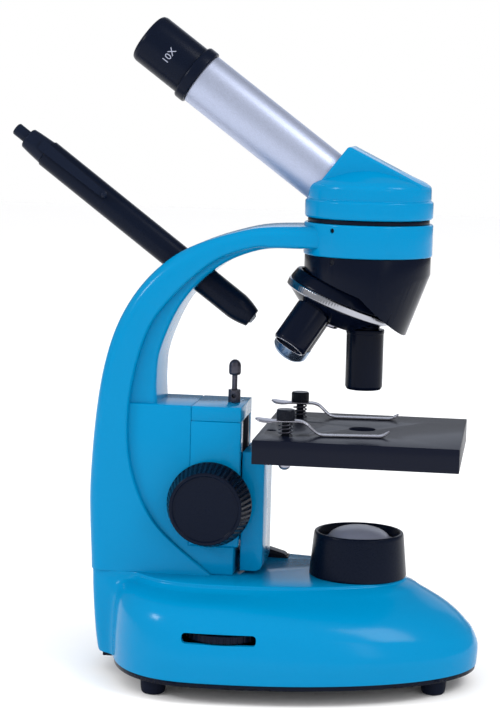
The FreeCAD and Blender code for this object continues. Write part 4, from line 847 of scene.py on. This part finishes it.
def floor():
    """A flat sheet just under the feet, eight metres across."""
    reach, steps = 4000.0, 8
    points, faces = [], []
    for i in range(steps + 1):
        for j in range(steps + 1):
            points.append((reach * (2 * i / steps - 1), reach * (2 * j / steps - 1), -0.05))
    for i in range(steps):
        for j in range(steps):
            a = i * (steps + 1) + j
            faces.append((a, a + steps + 1, a + steps + 2, a + 1))
    made = mesh_object("pale_floor", points, faces)
    if made.data.polygons[0].normal.z < 0:
        made.data.flip_normals()
    made.data.materials.append(FLOOR_WHITE)
    return made


def softbox(name, at, aim, size, power, color=(1.0, 1.0, 1.0)):
    light = bpy.data.lights.new(name, "AREA")
    light.shape = "RECTANGLE"
    light.size, light.size_y = size
    light.energy = power
    light.color = color
    obj = bpy.data.objects.new(name, light)
    obj.location = at
    obj.rotation_euler = (Vector(aim) - Vector(at)).to_track_quat("-Z", "Y").to_euler()
    bpy.context.scene.collection.objects.link(obj)


def white_room(near_side, far_side, mirrored):
    """White light from all round, stronger from the near side, and dimmer in reflections.

    Seen directly it is plain white. The mix has its factor on input 0 and its values on 2 and 3.
    """
    world = bpy.data.worlds.new("white_room")
    world.use_nodes = True
    nodes, link = world.node_tree.nodes, world.node_tree.links.new
    where = nodes.new("ShaderNodeTexCoord")
    parts = nodes.new("ShaderNodeSeparateXYZ")
    fade = nodes.new("ShaderNodeMapRange")
    fade.interpolation_type = "SMOOTHSTEP"
    fade.inputs["From Min"].default_value = -0.7
    fade.inputs["From Max"].default_value = 0.7
    fade.inputs["To Min"].default_value = near_side
    fade.inputs["To Max"].default_value = far_side
    ray = nodes.new("ShaderNodeLightPath")
    chosen = nodes.new("ShaderNodeMix")
    chosen.inputs[3].default_value = 1.0
    link(where.outputs["Generated"], parts.inputs["Vector"])
    link(parts.outputs["Y"], fade.inputs["Value"])
    link(ray.outputs["Is Camera Ray"], chosen.inputs[0])
    dimmed = nodes.new("ShaderNodeMath")
    dimmed.operation = "MULTIPLY_ADD"
    dimmed.inputs[1].default_value = mirrored - 1
    dimmed.inputs[2].default_value = 1.0
    product = nodes.new("ShaderNodeMath")
    product.operation = "MULTIPLY"
    link(ray.outputs["Is Glossy Ray"], dimmed.inputs[0])
    link(fade.outputs["Result"], product.inputs[0])
    link(dimmed.outputs["Value"], product.inputs[1])
    link(product.outputs["Value"], chosen.inputs[2])
    link(chosen.outputs[0], nodes["Background"].inputs["Strength"])
    nodes["Background"].inputs["Color"].default_value = (1.0, 1.0, 1.0, 1)
    return world


def studio():
    floor()
    middle = (0.0, 0.0, 0.14)
    softbox("key", (-1.50, -0.75, 1.00), middle, (0.3, 0.3), 11)
    softbox("fill", (1.1, -1.2, 0.7), middle, (0.25, 0.7), 1.5)
    softbox("right", (0.95, -0.35, 1.20), middle, (0.5, 0.5), 8)
    softbox("back", (0.2, 1.5, 0.72), middle, (1.4, 0.8), 3.4, color=(0.78, 0.85, 1.0))
    bpy.context.scene.world = white_room(near_side=1.52, far_side=0.62, mirrored=0.38)
    bpy.context.scene.view_settings.view_transform = "Standard"


def camera():
    yaw, pitch, roll = math.radians(7.62), math.radians(7.05), math.radians(1.43)
    forward = Vector((-math.sin(yaw) * math.cos(pitch), math.cos(yaw) * math.cos(pitch), -math.sin(pitch)))
    right = Vector((math.cos(yaw), math.sin(yaw), 0))
    up = right.cross(forward)
    turned_right = right * math.cos(roll) + up * math.sin(roll)
    turned_up = up * math.cos(roll) - right * math.sin(roll)
    lens = bpy.data.cameras.new("camera")
    lens.lens = 105.45
    obj = bpy.data.objects.new("camera", lens)
    facing = Matrix((turned_right, turned_up, -forward)).transposed().to_4x4()
    obj.matrix_world = Matrix.Translation((0.12689, -0.93344, 0.26168)) @ facing
    bpy.context.scene.collection.objects.link(obj)
    bpy.context.scene.camera = obj


studio()
camera()
bpy.context.view_layer.update()
